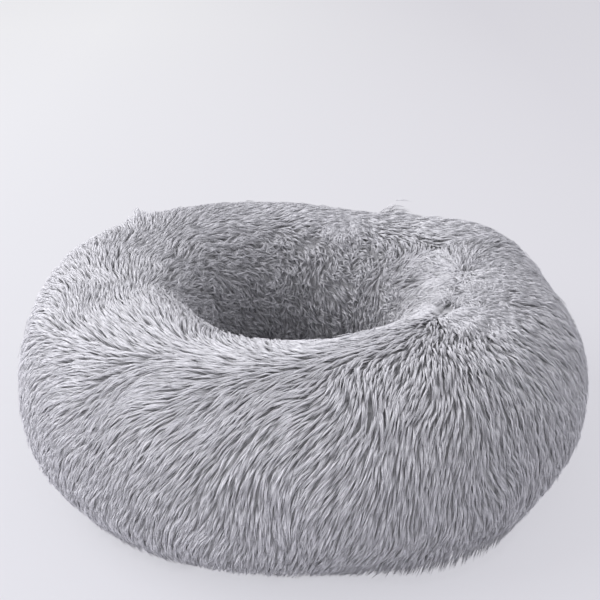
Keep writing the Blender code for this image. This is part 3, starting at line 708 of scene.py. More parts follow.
def growRingPile(surface, material):
    pile = ringPile
    rng = np.random.default_rng(pile["seed"])
    radius = np.linalg.norm(surface["points"][0, :, :2], axis=-1)
    share = np.linspace(0, 1, ring["columns"])
    # locks to an area: fewer by the outer seam, more on the well's wall
    density = radius * (0.45 + 0.55 * smoothStep(0.02, 0.14, share))
    onWall = smoothStep(crestShare, crestShare + 0.2, share)
    density = density * (1 + (pile["innerDensity"] - 1) * onWall)
    u, v = strewRoots(pile["locks"], density, rng)
    # some are moved to the curled places
    more = int(pile["curlShare"] * len(u))
    for i, (placeTurn, placeOut, reach, _) in enumerate(pile["curls"]):
        some = slice(i * 7 + 3, None, len(u) // more)
        size = len(u[some])
        aside = rng.normal(0, reach / 2, size) / (2 * math.pi * ring["crestRadius"])
        u[some] = (placeTurn / 360 + aside) % 1.0
        v[some] = crestShare - (placeOut + rng.normal(0, reach / 2, size)) / sectionLength
    order = np.argsort(u)
    u, v = u[order], v[order]
    turn = 2 * math.pi * u
    out = (crestShare - v) * sectionLength
    place = sampleGrid(surface, "points", u, v)
    curls = np.zeros(len(u))
    for placeTurn, placeOut, reach, amount in pile["curls"]:
        curls = np.maximum(curls, amount * nearPlace(turn, out, placeTurn, placeOut, reach))
    inside = smoothStep(0.02, 0.06, -out)
    wild = np.clip(curls + 0.8 * inside, 0, 1)
    # how far locks turn off the nap: in long, middling and short waves, and each by itself
    noise = (
        0.14 * waves(place, 0.11, 1)
        + (0.09 + 0.38 * wild) * waves(place, 0.045, 2)
        + (0.04 + 0.42 * wild) * waves(place, 0.018, 3)
        + rng.normal(0, 1, len(u)) * (0.06 + 0.35 * wild + 0.7 * curls)
    )
    length = pile["length"] + (pile["innerLength"] - pile["length"]) * inside
    length = length + (pile["curlLength"] - length) * np.minimum(1.6 * curls, 1)
    length = length * rng.uniform(0.82, 1.15, len(u))
    length = length * (0.62 + 0.38 * smoothStep(0.0, 0.10, v))  # shorter by the outer seam
    rootAngle = np.interp(v, share, sectionAngles)
    roof = wallAt(rootAngle) - groundAt(rootAngle)
    calm = np.exp(-((out / pile["calmCrest"]) ** 2))
    for calmTurn, calmOut, reach, most in pile["calm"]:
        calm = np.maximum(calm, most * nearPlace(turn, out, calmTurn, calmOut, reach))
    calm = calm * (1 - 0.5 * curls) * (1 - inside)
    roof = roof * (1 - pile["calmDip"] * calm)
    # how high locks lie: a share of the room under the skin, uneven over it and lock by lock
    height = roof * (0.88 + 0.08 * waves(place, 0.03, 4))
    height = height * (1 + rng.uniform(-0.20, 0.12, len(u)) * (1 - 0.6 * calm))
    height = height + pile["crestLift"] * (1 - smoothStep(0.03, 0.10, out))
    wave = pile["wave"] * rng.uniform(0.6, 1.4, len(u)) * (1 + 1.3 * wild)
    stray = rng.uniform(0, 1, len(u)) < pile["strays"] * (1 - 0.6 * calm)
    stands = stray * pile["strayLift"] * rng.uniform(0.3, 1.0, len(u))
    height = height + stands * smoothStep(0.0, 0.12, v)

    def nap(uu, vv):
        around, outward = ringNap(2 * math.pi * uu, (crestShare - vv) * sectionLength, noise)
        sizeU = np.linalg.norm(sampleGrid(surface, "alongU", uu, vv), axis=-1)
        sizeV = np.linalg.norm(sampleGrid(surface, "alongV", uu, vv), axis=-1)
        return around / sizeU, -outward / sizeV

    roundLength = 2 * math.pi * pile["shoulder"]
    targetU, targetV, tuftShade = tuftOf(u, v, roundLength, sectionLength, pile["tuftSize"], rng)
    targetU = u + ((targetU - u + 0.5) % 1.0 - 0.5)
    pull = np.full(len(u), pile["tuftPull"])
    for tuftTurn, tuftOut, reach, lift, together in pile["tufts"]:
        near = nearPlace(turn, out, tuftTurn, tuftOut, reach)
        off = (tuftTurn / 360 - u + 0.5) % 1.0 - 0.5
        targetU = targetU + (u + off - targetU) * near
        targetV = targetV + (crestShare - tuftOut / sectionLength - targetV) * near
        pull = pull + together * near
        height = height + lift * near * rng.uniform(0, 1, len(u))
    fly = 0.7 * stray
    for flyTurn, flyOut, reach, most in pile["fly"]:
        fly = np.maximum(fly, most * nearPlace(turn, out, flyTurn, flyOut, reach))
    fly = fly * rng.uniform(0, 1, len(u)) * smoothStep(0.05, 0.2, v)
    shares = pile["shares"]
    hang = np.full(len(u), pile["hangEverywhere"])
    for hangTurn, spread, most in pile["hang"]:
        off = turnFrom(turn, hangTurn) / math.radians(spread)
        hang = np.maximum(hang, most * np.exp(-(off**2)))
    hang = hang * (1 - smoothStep(0.10, 0.22, v))
    length = length * (1 + 0.6 * hang * (hang > pile["hangEverywhere"]))
    paths, side, normal = lockPaths(surface, u, v, nap, length, height, wave, pile["waveCount"],
                                    pull, (targetU, targetV), hang, fly, rng, shares)
    shade = 0.5 + (0.09 * tuftShade + rng.normal(0, 0.12, len(u))) * (1 - 0.5 * calm)
    shade = shade + 0.05 * waves(place, 0.09, 6)
    width = 1 - (1 - pile["innerWidth"]) * np.clip(inside + curls, 0, 1)
    width = width + (pile["calmWidth"] - 1) * calm
    edges = np.linspace(0, len(u), pile["pieces"] + 1).astype(int)
    total = 0
    for i in range(pile["pieces"]):
        part = slice(edges[i], edges[i + 1])
        points, triangles, uv = strandMesh(paths[part], side[part], normal[part], pile, shade[part],
                                           shares, pile["lowest"], rng, width[part])
        obj = addMesh("ringPile%d" % (i + 1), points, [triangles], material, uv=uv)
        total += len(triangles)
    print("ring pile:", len(u) * pile["strands"], "strands,", total, "triangles")


# materials

pileLook = {
    # painted shade: the root colour is darker than the middle and tip, for the shade deep in the
    # pile
    "root": (0.38, 0.377, 0.40),
    "middle": (0.63, 0.625, 0.662),
    "tip": (0.69, 0.685, 0.725),
    "lockContrast": 0.32,  # how much lighter or darker a lock's shade makes it
    "roughness": 0.62,
    "specular": 0.10,
    "sheen": 0.12,
    "sheenRoughness": 0.45,
    "toMiddle": (0.05, 0.5),  # share of a strand over which its colour turns to the middle's
    "toTip": (0.35, 0.95),  # and to the tip's
}
# painted shade: the well's pile has a darker root and middle than the ring's, for the well's hollow
wellPileLook = dict(pileLook, root=(0.30, 0.298, 0.32), middle=(0.56, 0.555, 0.59))


# A new node group with its sockets, given as names and kinds.
def newGroup(name, inputs, outputs):
    group = bpy.data.node_groups.new(name, "ShaderNodeTree")
    for way, sockets in (("INPUT", inputs), ("OUTPUT", outputs)):
        for socket, kind in sockets.items():
            group.interface.new_socket(name=socket, in_out=way, socket_type="NodeSocket" + kind)
    nodes = group.nodes
    return group, nodes, group.links, nodes.new("NodeGroupInput"), nodes.new("NodeGroupOutput")


# Group: colour along a strand from its root to its tip, the darker root being painted shade deep in
# the pile, lighter or darker by the lock's shade.
def pileColourGroup():
    sockets = {"Shade": "Float", "Along": "Float", "Root": "Color", "Middle": "Color",
               "Tip": "Color", "Contrast": "Float"}
    group, nodes, links, inside, outside = newGroup("pileColour", sockets, {"Color": "Color"})
    toMiddle = nodes.new("ShaderNodeMapRange")
    toMiddle.interpolation_type = "SMOOTHSTEP"
    toMiddle.inputs["From Min"].default_value = pileLook["toMiddle"][0]
    toMiddle.inputs["From Max"].default_value = pileLook["toMiddle"][1]
    toTip = nodes.new("ShaderNodeMapRange")
    toTip.interpolation_type = "SMOOTHSTEP"
    toTip.inputs["From Min"].default_value = pileLook["toTip"][0]
    toTip.inputs["From Max"].default_value = pileLook["toTip"][1]
    first = nodes.new("ShaderNodeMix")
    first.data_type = "RGBA"
    second = nodes.new("ShaderNodeMix")
    second.data_type = "RGBA"
    links.new(inside.outputs["Along"], toMiddle.inputs["Value"])
    links.new(inside.outputs["Along"], toTip.inputs["Value"])
    links.new(toMiddle.outputs["Result"], first.inputs["Factor"])
    links.new(inside.outputs["Root"], first.inputs["A"])
    links.new(inside.outputs["Middle"], first.inputs["B"])
    links.new(toTip.outputs["Result"], second.inputs["Factor"])
    links.new(first.outputs["Result"], second.inputs["A"])
    links.new(inside.outputs["Tip"], second.inputs["B"])
    centred = nodes.new("ShaderNodeMath")
    centred.operation = "SUBTRACT"
    centred.inputs[1].default_value = 0.5
    factor = nodes.new("ShaderNodeMath")
    factor.operation = "MULTIPLY_ADD"
    factor.inputs[2].default_value = 1.0
    scaled = nodes.new("ShaderNodeVectorMath")
    scaled.operation = "SCALE"
    links.new(inside.outputs["Shade"], centred.inputs[0])
    links.new(centred.outputs[0], factor.inputs[0])
    links.new(inside.outputs["Contrast"], factor.inputs[1])
    links.new(second.outputs["Result"], scaled.inputs[0])
    links.new(factor.outputs[0], scaled.inputs["Scale"])
    links.new(scaled.outputs["Vector"], outside.inputs["Color"])
    return group


pileColour = pileColourGroup()


def pileMaterial(name, look):
    material, nodes, links = newMaterial(name)
    shader = nodes["Principled BSDF"]
    shader.inputs["Roughness"].default_value = look["roughness"]
    shader.inputs["Specular IOR Level"].default_value = look["specular"]
    shader.inputs["Sheen Weight"].default_value = look["sheen"]
    shader.inputs["Sheen Roughness"].default_value = look["sheenRoughness"]
    place = nodes.new("ShaderNodeUVMap")
    place.uv_map = "OFBake"
    split = nodes.new("ShaderNodeSeparateXYZ")
    colour = nodes.new("ShaderNodeGroup")
    colour.node_tree = pileColour
    colour.inputs["Root"].default_value = (*look["root"], 1)
    colour.inputs["Middle"].default_value = (*look["middle"], 1)
    colour.inputs["Tip"].default_value = (*look["tip"], 1)
    colour.inputs["Contrast"].default_value = look["lockContrast"]
    links.new(place.outputs["UV"], split.inputs[0])
    links.new(split.outputs["X"], colour.inputs["Shade"])
    links.new(split.outputs["Y"], colour.inputs["Along"])
    links.new(colour.outputs["Color"], shader.inputs["Base Color"])
    return material


# Group: threads crossing over and under, from a place measured in threads. Gives their height,
# 0 to 1, and a shade that differs a little from thread to thread.
def weaveGroup():
    sockets = {"Vector": "Vector", "Threads": "Float", "Slub": "Float"}
    group, nodes, links, inside, outside = newGroup(
        "weave", sockets, {"Height": "Float", "Shade": "Float"})

    def maths(operation, a, b=None):
        node = nodes.new("ShaderNodeMath")
        node.operation = operation
        for socket, value in zip(node.inputs, (a, b)):
            if value is None:
                continue
            if isinstance(value, (int, float)):
                socket.default_value = value
            else:
                links.new(value, socket)
        return node.outputs[0]

    scaled = nodes.new("ShaderNodeVectorMath")
    scaled.operation = "SCALE"
    links.new(inside.outputs["Vector"], scaled.inputs[0])
    links.new(inside.outputs["Threads"], scaled.inputs["Scale"])
    split = nodes.new("ShaderNodeSeparateXYZ")
    links.new(scaled.outputs["Vector"], split.inputs[0])
    alongX = maths("SINE", maths("MULTIPLY", split.outputs["X"], math.pi))
    alongY = maths("SINE", maths("MULTIPLY", split.outputs["Y"], math.pi))
    over = maths("GREATER_THAN", maths("MULTIPLY", alongX, alongY), 0.0)
    ridgeX, ridgeY = maths("ABSOLUTE", alongX), maths("ABSOLUTE", alongY)
    warp = maths("MULTIPLY", over, ridgeX)
    weft = maths("MULTIPLY", maths("SUBTRACT", 1.0, over), ridgeY)
    links.new(maths("POWER", maths("ADD", warp, weft), 0.6), outside.inputs["Height"])
    cell = nodes.new("ShaderNodeVectorMath")
    cell.operation = "FLOOR"
    links.new(scaled.outputs["Vector"], cell.inputs[0])
    parts = nodes.new("ShaderNodeSeparateXYZ")
    links.new(cell.outputs["Vector"], parts.inputs[0])
    tones = []
    for axis in ("X", "Y"):
        tone = nodes.new("ShaderNodeTexWhiteNoise")
        tone.noise_dimensions = "1D"
        links.new(parts.outputs[axis], tone.inputs["W"])
        tones.append(tone.outputs["Value"])
    mean = maths("MULTIPLY", maths("ADD", tones[0], tones[1]), 0.5)
    swing = maths("MULTIPLY", maths("SUBTRACT", mean, 0.5), inside.outputs["Slub"])
    links.new(maths("ADD", swing, 1.0), outside.inputs["Shade"])
    return group


# Group: fine specks and long soft blotches, for moulded, cast or matted finishes.
def grainGroup():
    sockets = {"Vector": "Vector", "Fine": "Float", "Coarse": "Float"}
    group, nodes, links, inside, outside = newGroup(
        "grain", sockets, {"Specks": "Float", "Blotches": "Float"})
    for size, result, detail in (("Fine", "Specks", 3.0), ("Coarse", "Blotches", 4.0)):
        noise = nodes.new("ShaderNodeTexNoise")
        noise.inputs["Detail"].default_value = detail
        links.new(inside.outputs["Vector"], noise.inputs["Vector"])
        links.new(inside.outputs[size], noise.inputs["Scale"])
        links.new(noise.outputs["Fac"], outside.inputs[result])
    return group


weave = weaveGroup()
grain = grainGroup()


# A material whose colour runs between two tones by a mask, with a bump from a height.
def tonedMaterial(name, look, makeMask, metallic=0.0):
    material, nodes, links = newMaterial(name)
    shader = nodes["Principled BSDF"]
    shader.inputs["Metallic"].default_value = metallic
    shader.inputs["Specular IOR Level"].default_value = look.get("specular", 0.3)
    shader.inputs["Sheen Weight"].default_value = look.get("sheen", 0.0)
    place = nodes.new("ShaderNodeTexCoord")
    mask, height = makeMask(nodes, links, place)
    tones = nodes.new("ShaderNodeMix")
    tones.data_type = "RGBA"
    tones.inputs["A"].default_value = (*look["dark"], 1)
    tones.inputs["B"].default_value = (*look["light"], 1)
    links.new(mask, tones.inputs["Factor"])
    links.new(tones.outputs["Result"], shader.inputs["Base Color"])
    rough = nodes.new("ShaderNodeMapRange")
    rough.inputs["To Min"].default_value = look["rough"][0]
    rough.inputs["To Max"].default_value = look["rough"][1]
    links.new(mask, rough.inputs["Value"])
    links.new(rough.outputs["Result"], shader.inputs["Roughness"])
    bump = nodes.new("ShaderNodeBump")
    bump.inputs["Strength"].default_value = look.get("bump", 0.5)
    bump.inputs["Distance"].default_value = look.get("relief", 0.0003)
    links.new(height, bump.inputs["Height"])
    links.new(bump.outputs["Normal"], shader.inputs["Normal"])
    return material


wear = {"fine": 900.0, "coarse": 22.0, "share": 0.30}  # paler worn blotches on cloth


# Mask and height of a woven cloth: threads to a unit of its coordinates, and how uneven they are.
def clothMask(threads, slub, source="Object"):
    def make(nodes, links, place):
        threadsNode = nodes.new("ShaderNodeGroup")
        threadsNode.node_tree = weave
        threadsNode.inputs["Threads"].default_value = threads
        threadsNode.inputs["Slub"].default_value = slub
        links.new(place.outputs[source], threadsNode.inputs["Vector"])
        worn = nodes.new("ShaderNodeGroup")
        worn.node_tree = grain
        worn.inputs["Fine"].default_value = wear["fine"]
        worn.inputs["Coarse"].default_value = wear["coarse"]
        links.new(place.outputs["Object"], worn.inputs["Vector"])
        # painted shade: the weave's height darkens the colour where threads dip under, times each
        # thread's own tone
        threadToneAndShade = nodes.new("ShaderNodeMath")
        threadToneAndShade.operation = "MULTIPLY"
        links.new(threadsNode.outputs["Height"], threadToneAndShade.inputs[0])
        links.new(threadsNode.outputs["Shade"], threadToneAndShade.inputs[1])
        mixed = nodes.new("ShaderNodeMath")
        mixed.operation = "MULTIPLY_ADD"
        mixed.inputs[1].default_value = wear["share"]
        links.new(worn.outputs["Blotches"], mixed.inputs[0])
        links.new(threadToneAndShade.outputs[0], mixed.inputs[2])
        mixed.use_clamp = True
        return mixed.outputs[0], threadsNode.outputs["Height"]

    return make


# Mask and height of a grained surface: how fine its specks and its blotches are.
def grainMask(fine, coarse, low=0.35, high=0.65):
    def make(nodes, links, place):
        spots = nodes.new("ShaderNodeGroup")
        spots.node_tree = grain
        spots.inputs["Fine"].default_value = fine
        spots.inputs["Coarse"].default_value = coarse
        links.new(place.outputs["Object"], spots.inputs["Vector"])
        blotches = nodes.new("ShaderNodeMapRange")
        blotches.inputs["From Min"].default_value = low
        blotches.inputs["From Max"].default_value = high
        links.new(spots.outputs["Blotches"], blotches.inputs["Value"])
        return blotches.outputs["Result"], spots.outputs["Specks"]

    return make


clothLooks = {
    # the backing is real cloth; its dark colour is painted shade of the deep pile between strands
    "backing": {"dark": (0.33, 0.328, 0.345), "light": (0.47, 0.467, 0.49),
                "rough": (0.9, 1.0), "relief": 0.0012},
    "liner": {"dark": (0.62, 0.62, 0.62), "light": (0.82, 0.82, 0.81),
              "rough": (0.85, 0.95), "relief": 0.0002},
    "fibre": {"dark": (0.74, 0.74, 0.74), "light": (0.90, 0.90, 0.89),
              "rough": (0.9, 1.0), "relief": 0.0030, "bump": 0.9, "sheen": 0.2},
    "base": {"dark": (0.135, 0.135, 0.145), "light": (0.25, 0.25, 0.265),
             "rough": (0.55, 0.75), "relief": 0.00025},
    "binding": {"dark": (0.20, 0.20, 0.215), "light": (0.33, 0.33, 0.35),
                "rough": (0.8, 0.9), "relief": 0.0002},
    "tape": {"dark": (0.22, 0.22, 0.235), "light": (0.34, 0.34, 0.36),
             "rough": (0.8, 0.9), "relief": 0.0002},
    "thread": {"dark": (0.34, 0.34, 0.36), "light": (0.46, 0.46, 0.48),
               "rough": (0.6, 0.7), "relief": 0.0001},
    "dots": {"dark": (0.30, 0.30, 0.315), "light": (0.36, 0.36, 0.375),
             "rough": (0.35, 0.5), "relief": 0.0001},
    "teeth": {"dark": (0.30, 0.30, 0.32), "light": (0.37, 0.37, 0.39),
              "rough": (0.32, 0.5), "relief": 0.00006, "specular": 0.5},
    "metal": {"dark": (0.38, 0.38, 0.40), "light": (0.56, 0.56, 0.57),
              "rough": (0.22, 0.45), "relief": 0.00005, "specular": 0.5},
}

finishes = {
    "backing": tonedMaterial("pileBacking", clothLooks["backing"], grainMask(420.0, 160.0)),
    "liner": tonedMaterial("linerCloth", clothLooks["liner"], clothMask(900.0, 0.25)),
    "fibre": tonedMaterial("fibreFill", clothLooks["fibre"], grainMask(260.0, 70.0)),
    "base": tonedMaterial("baseCloth", clothLooks["base"], clothMask(1400.0, 0.35)),
    "binding": tonedMaterial("bindingTape", clothLooks["binding"], clothMask(1.0, 0.3, "UV")),
    "tape": tonedMaterial("zipTape", clothLooks["tape"], clothMask(1900.0, 0.3)),
    "thread": tonedMaterial("sewingThread", clothLooks["thread"], grainMask(2400.0, 300.0)),
    "dots": tonedMaterial("gripDots", clothLooks["dots"], grainMask(1500.0, 90.0)),
    "teeth": tonedMaterial("mouldedTeeth", clothLooks["teeth"], grainMask(2200.0, 110.0)),
    "metal": tonedMaterial("castMetal", clothLooks["metal"], grainMask(3000.0, 350.0), 1.0),
}
print("materials made")

# soft forms under pressure

softness = {
    "frames": 20,
    "pressure": 4.0,
    "slack": 0.015,  # how much longer the cloth is than its shape
    "quality": 6,
    "mass": 0.3,
    "stretch": 18,  # stiffness against pull and push
    "bending": 0.8,
    "ringCap": 0.0035,  # how far a point of the ring may move
    "wellCap": 0.0040,
}


# How far each point of a skin moves when it is blown out as cloth, held where its seams are.
def blowOut(name, points, closed, held, cap):
    rows, columns = points.shape[:2]
    mesh = bpy.data.meshes.new(name)
    mesh.from_pydata(points.reshape(-1, 3).tolist(), [], gridQuads(rows, columns, closed).tolist())
    obj = link(bpy.data.objects.new(name, mesh))
    group = obj.vertex_groups.new(name="held")
    group.add(np.flatnonzero(held.reshape(-1)).tolist(), 1.0, "REPLACE")
    cloth = obj.modifiers.new("cloth", "CLOTH")
    cloth.settings.quality = softness["quality"]
    cloth.settings.mass = softness["mass"]
    cloth.settings.tension_stiffness = softness["stretch"]
    cloth.settings.compression_stiffness = softness["stretch"]
    cloth.settings.bending_stiffness = softness["bending"]
    cloth.settings.vertex_group_mass = "held"
    cloth.settings.shrink_min = -softness["slack"]
    cloth.settings.use_pressure = True
    cloth.settings.uniform_pressure_force = softness["pressure"]
    cloth.settings.effector_weights.gravity = 0.0
    cloth.point_cache.frame_start = 1
    cloth.point_cache.frame_end = softness["frames"]
    scene = bpy.context.scene
    for step in range(1, softness["frames"] + 1):
        scene.frame_set(step)
    result = np.empty(points.size, dtype=np.float32)
    shaped = obj.evaluated_get(bpy.context.evaluated_depsgraph_get())
    shaped.data.vertices.foreach_get("co", result)
    scene.frame_set(1)
    bpy.data.objects.remove(obj)
    bpy.data.meshes.remove(mesh)
    move = result.reshape(points.shape) - points
    size = np.linalg.norm(move, axis=-1, keepdims=True)
    print(name, "blown out, furthest", round(float(size.max()) * 1000, 2), "mm before the cap")
    return move * (cap / (cap + size))


# shells and loops


# A closed shell from its upper and lower skins, joined along their edges.
def shellFaces(rows, columns, closed):
    faces = [gridQuads(rows, 2 * columns, closed, True)]
    if not closed:
        j = np.arange(columns - 1)
        cap = np.stack([j, j + 1, 2 * columns - 2 - j, 2 * columns - 1 - j], axis=-1)
        faces += [cap, cap[:, ::-1] + (rows - 1) * 2 * columns]
    return faces


def addShell(name, top, bottom, closed, material):
    points = np.concatenate([top, bottom[:, ::-1]], axis=1)
    faces = shellFaces(*top.shape[:2], closed)
    return addMesh(name, points, faces, material, merge=True, turn=True)


# A profile of radii and heights, from the top's middle out and back, carried round the bed's axis.
# A second profile inside it makes it hollow.
def addTurned(name, material, profiles, rows=96):
    turn = 2 * math.pi * np.arange(rows)[:, None] / rows
    points, faces = [], []
    for i, (r, z) in enumerate(profiles):
        places = np.broadcast_arrays(r * np.cos(turn), r * np.sin(turn), z[None, :])
        points.append(np.stack(places, axis=-1).reshape(-1, 3))
        faces.append(gridQuads(rows, len(r), True, True, i * rows * len(r), i == 0))
    return addMesh(name, np.concatenate(points), faces, material, merge=True)


# ring: backing, liner and filling

inserts = {
    "fitGap": 0.0005,  # between one layer and the next
    "linerWall": 0.001,
    "insertFloor": 0.0101454,  # underside of the liners, over the base
    "overRows": 40,
    "underRows": 12,
    "fillLump": 0.0007,
    "backingRoom": 0.0002,  # how far a backing stays clear of what is under it
}


# Closed section inside the cover: over the crest and back along the flat underside.
def insertTube(depth, rows=132):
    over = np.linspace(outerEnd, innerEnd, inserts["overRows"])
    under = np.linspace(innerEnd, outerEnd + 2 * math.pi, inserts["underRows"] + 2)[1:-1]
    angles = np.concatenate([over, under])
    turn, angle = np.meshgrid(2 * math.pi * np.arange(rows) / rows, angles, indexing="ij")
    inside = wallAt(angle) + inserts["fitGap"] + depth
    return ringPoints(turn, angle, inside, inserts["insertFloor"] + depth)


def addTube(name, outer, material, inner=None):
    rows, columns = outer.shape[:2]
    faces = [gridQuads(rows, columns, True, True)]
    points = outer.reshape(-1, 3)
    if inner is not None:
        faces.append(gridQuads(rows, columns, True, True, rows * columns, True))
        points = np.concatenate([points, inner.reshape(-1, 3)])
    return addMesh(name, points, faces, material)


flat = ringSkin()
heldColumns = np.zeros(flat[::2, ::2].shape[:2], dtype=bool)
heldColumns[:, [0, -1]] = True
move = blowOut("ringCloth", flat[::2, ::2], True, heldColumns, softness["ringCap"])
u, v = np.meshgrid(np.arange(ring["rows"]) / ring["rows"], np.linspace(0, 1, ring["columns"]),
                   indexing="ij")
skin = surfaceOf(flat + sampleGrid({"move": move, "closed": True}, "move", u, v), True)
outer = skin["points"][::2, ::2]
ground = groundAt(sectionAngles)[::2, None] - inserts["backingRoom"]
ringBack = addShell("ringBacking", outer, outer - skin["normal"][::2, ::2] * ground, True,
                    finishes["backing"])
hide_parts("ring_cover")

tube = insertTube(0)
liner = addTube("ringLiner", tube, finishes["liner"], insertTube(inserts["linerWall"]))
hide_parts("ring_liner")
stuffing = insertTube(inserts["linerWall"] + inserts["fitGap"])
inward = unit(stuffing.mean(axis=1, keepdims=True) - stuffing)
stuffing = stuffing + inward * (inserts["fillLump"] * (1 + waves(stuffing, 0.03, 21)))[..., None]
filling = addTube("ringFilling", stuffing, finishes["fibre"])
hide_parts("ring_filling")
print("ring backing, liner and filling made")

# well: plush panel, liner, filling and bound seam

well = {
    "seamRadius": float(sectionCurve(np.array(innerEnd))[0]),
    "seamHeight": 0.0287,
    "lap": 0.002,  # how far the panel runs on past its seam
    "crown": 0.025,
    "crownPower": 1.3,
    "bindingWidth": 0.004,
    "bindingHeight": 0.005,
    "gridSide": 0.1145,  # half the side of the square that the plush is worked out on
    "gridCount": 81,
    "swirl": 0.7,  # how far the nap turns off its way out from the middle
}

wellPile = dict(ringPile, seed=23, locks=3800, length=0.023, width=0.00092,
                tuftSize=0.010, tuftPull=0.25, wave=0.0022)


def panelShare(radius):
    return np.maximum(1 - (radius / well["seamRadius"]) ** 2, 0)


# Crown of the well's plush: its seam's height plus the crown times the share to a power.
def panelTop(radius):
    return well["seamHeight"] + well["crown"] * panelShare(radius) ** well["crownPower"]


def panelWall(radius):
    return ring["seamWall"] + (ring["pileDepth"] - ring["seamWall"]) * panelShare(radius)


# The well's floor as a square grid under the pile, blown out inside its seam.
def wellSkin():
    side = np.linspace(-well["gridSide"], well["gridSide"], well["gridCount"])
    x, y = np.meshgrid(side, side, indexing="ij")
    radius = np.hypot(x, y)
    points = np.stack([x, y, panelTop(radius) - panelWall(radius) + ring["backing"]], axis=-1)
    held = radius > well["seamRadius"] * 0.97
    moved = blowOut("wellCloth", points, False, held, softness["wellCap"])
    return surfaceOf(points + moved * (panelShare(radius) ** 0.5)[..., None], False)


def growWellPile(surface, material):
    pile = wellPile
    rng = np.random.default_rng(pile["seed"])
    count = pile["locks"]
    i = np.arange(count)
    radius = well["seamRadius"] * np.sqrt((i + 0.5) / count)
    turn = i * math.pi * (3 - math.sqrt(5)) + rng.normal(0, 0.02, count)
    x, y = radius * np.cos(turn), radius * np.sin(turn)
    side = 2 * well["gridSide"]
    u, v = x / side + 0.5, y / side + 0.5
    place = sampleGrid(surface, "points", u, v)
    noise = 0.5 * waves(place, 0.07, 31) + 0.45 * waves(place, 0.025, 32)
    noise = noise + rng.normal(0, 0.30, count)
    height = (panelWall(radius) - ring["backing"]) * rng.uniform(0.75, 1.1, count)
    length = pile["length"] * rng.uniform(0.8, 1.15, count) * (0.75 + 0.25 * panelShare(radius))

    # the nap swirls outwards from the middle
    def nap(uu, vv):
        px, py = (uu - 0.5) * side, (vv - 0.5) * side
        angle = np.arctan2(py, px) - well["swirl"] + noise
        return np.cos(angle) / side, np.sin(angle) / side

    targetU, targetV, tuftShade = tuftOf(u, v, side, side, pile["tuftSize"], rng)
    wave = pile["wave"] * rng.uniform(0.6, 1.4, count)
    shares = pile["shares"]
    paths, sides, normals = lockPaths(surface, u, v, nap, length, height, wave, pile["waveCount"],
                                      pile["tuftPull"], (targetU, targetV), None, None, rng, shares)
    shade = 0.5 + 0.10 * tuftShade + rng.normal(0, 0.11, count)
    points, triangles, uv = strandMesh(paths, sides, normals, pile, shade, shares,
                                       pile["lowest"], rng)
    obj = addMesh("wellPile", points, [triangles], material, uv=uv)
    print("well pile:", count * pile["strands"], "strands,", len(triangles), "triangles")


# Profile of the well's insert at a depth: the panel's crown, a side that bulges as a half sine,
# and a flat underside.
def wellInsert(depth):
    inside = (well["seamRadius"] - well["bindingWidth"] / 4 - well["bindingWidth"] / 2) * 0.9975
    width = inside - inserts["fitGap"] - depth
    r = np.linspace(0, width, 22)
    top = panelTop(r) - panelWall(r) - inserts["fitGap"] - depth
    low = inserts["insertFloor"] + depth
    bulge = np.linspace(0, 1, 7)[1:-1]
    sideR = width + well["bindingWidth"] / 2 * np.sin(math.pi * bulge)
    sideZ = top[-1] + (low - top[-1]) * bulge
    return (np.concatenate([r, sideR, r[::-1]]), np.concatenate([top, sideZ, np.full(len(r), low)]))


wellSurface = wellSkin()
turns = 2 * math.pi * np.arange(132)[:, None] / 132
radii = np.linspace(0, well["seamRadius"], 34)
radii = np.concatenate([radii, [well["seamRadius"] + well["lap"]]])
shareU = radii * np.cos(turns) / (2 * well["gridSide"]) + 0.5
shareV = radii * np.sin(turns) / (2 * well["gridSide"]) + 0.5
panel = sampleGrid(wellSurface, "points", shareU, shareV)
under = panel - np.array([0, 0, ring["backing"] - inserts["backingRoom"]])
panelBack = addShell("wellBacking", panel, under, True, finishes["backing"])
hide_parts("well_panel")

wellBag = addTurned("wellLiner", finishes["liner"],
                    [wellInsert(0), wellInsert(inserts["linerWall"])])
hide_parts("well_liner")
wellFill = addTurned("wellFilling", finishes["fibre"],
                     [wellInsert(inserts["linerWall"] + inserts["fitGap"])])
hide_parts("well_filling")


binding = {
    "pucker": 0.00012,
    "threads": 900,  # to a metre along it
    "threadsAcross": 22,  # once round its profile
}


# Bound seam: a rounded rectangle's profile carried round, with fine puckers between the stitches.
def addBinding(name, radius, width, low, high, node, puckers):
    a = np.linspace(0, 2 * math.pi, 17)[:-1]
    c, s = np.cos(a), np.sin(a)
    r = radius + width / 2 * np.sign(c) * np.abs(c) ** 0.6
    z = (low + high) / 2 + (high - low) / 2 * np.sign(s) * np.abs(s) ** 0.6
    rows = 352
    turn = 2 * math.pi * np.arange(rows)[:, None] / rows
    pucker = binding["pucker"] * np.cos(puckers * turn) * np.abs(c)[None, :]
    rr = r[None, :] - np.abs(pucker) * np.sign(c)[None, :]
    zz = np.broadcast_to(z[None, :], rr.shape)
    points = np.stack([rr * np.cos(turn), rr * np.sin(turn), zz], axis=-1)
    over = (a / (2 * math.pi))[None, :] * binding["threadsAcross"]
    uv = np.stack(np.broadcast_arrays(turn * radius * binding["threads"], over), axis=-1)
    obj = addMesh(name, points, [gridQuads(rows, len(a), True, True)], finishes["binding"],
                  uv=uv.reshape(-1, 2), uvName="threads")
    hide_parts(node)


bindingTop = well["seamHeight"] - ring["seamWall"] - 0.0003
addBinding("wellBinding", well["seamRadius"] - well["bindingWidth"] / 4, well["bindingWidth"],
           bindingTop - well["bindingHeight"], bindingTop, "well_binding", 88)
print("well made")

# base: cloth in two halves, wadding, bound edge, grip dots and stitches

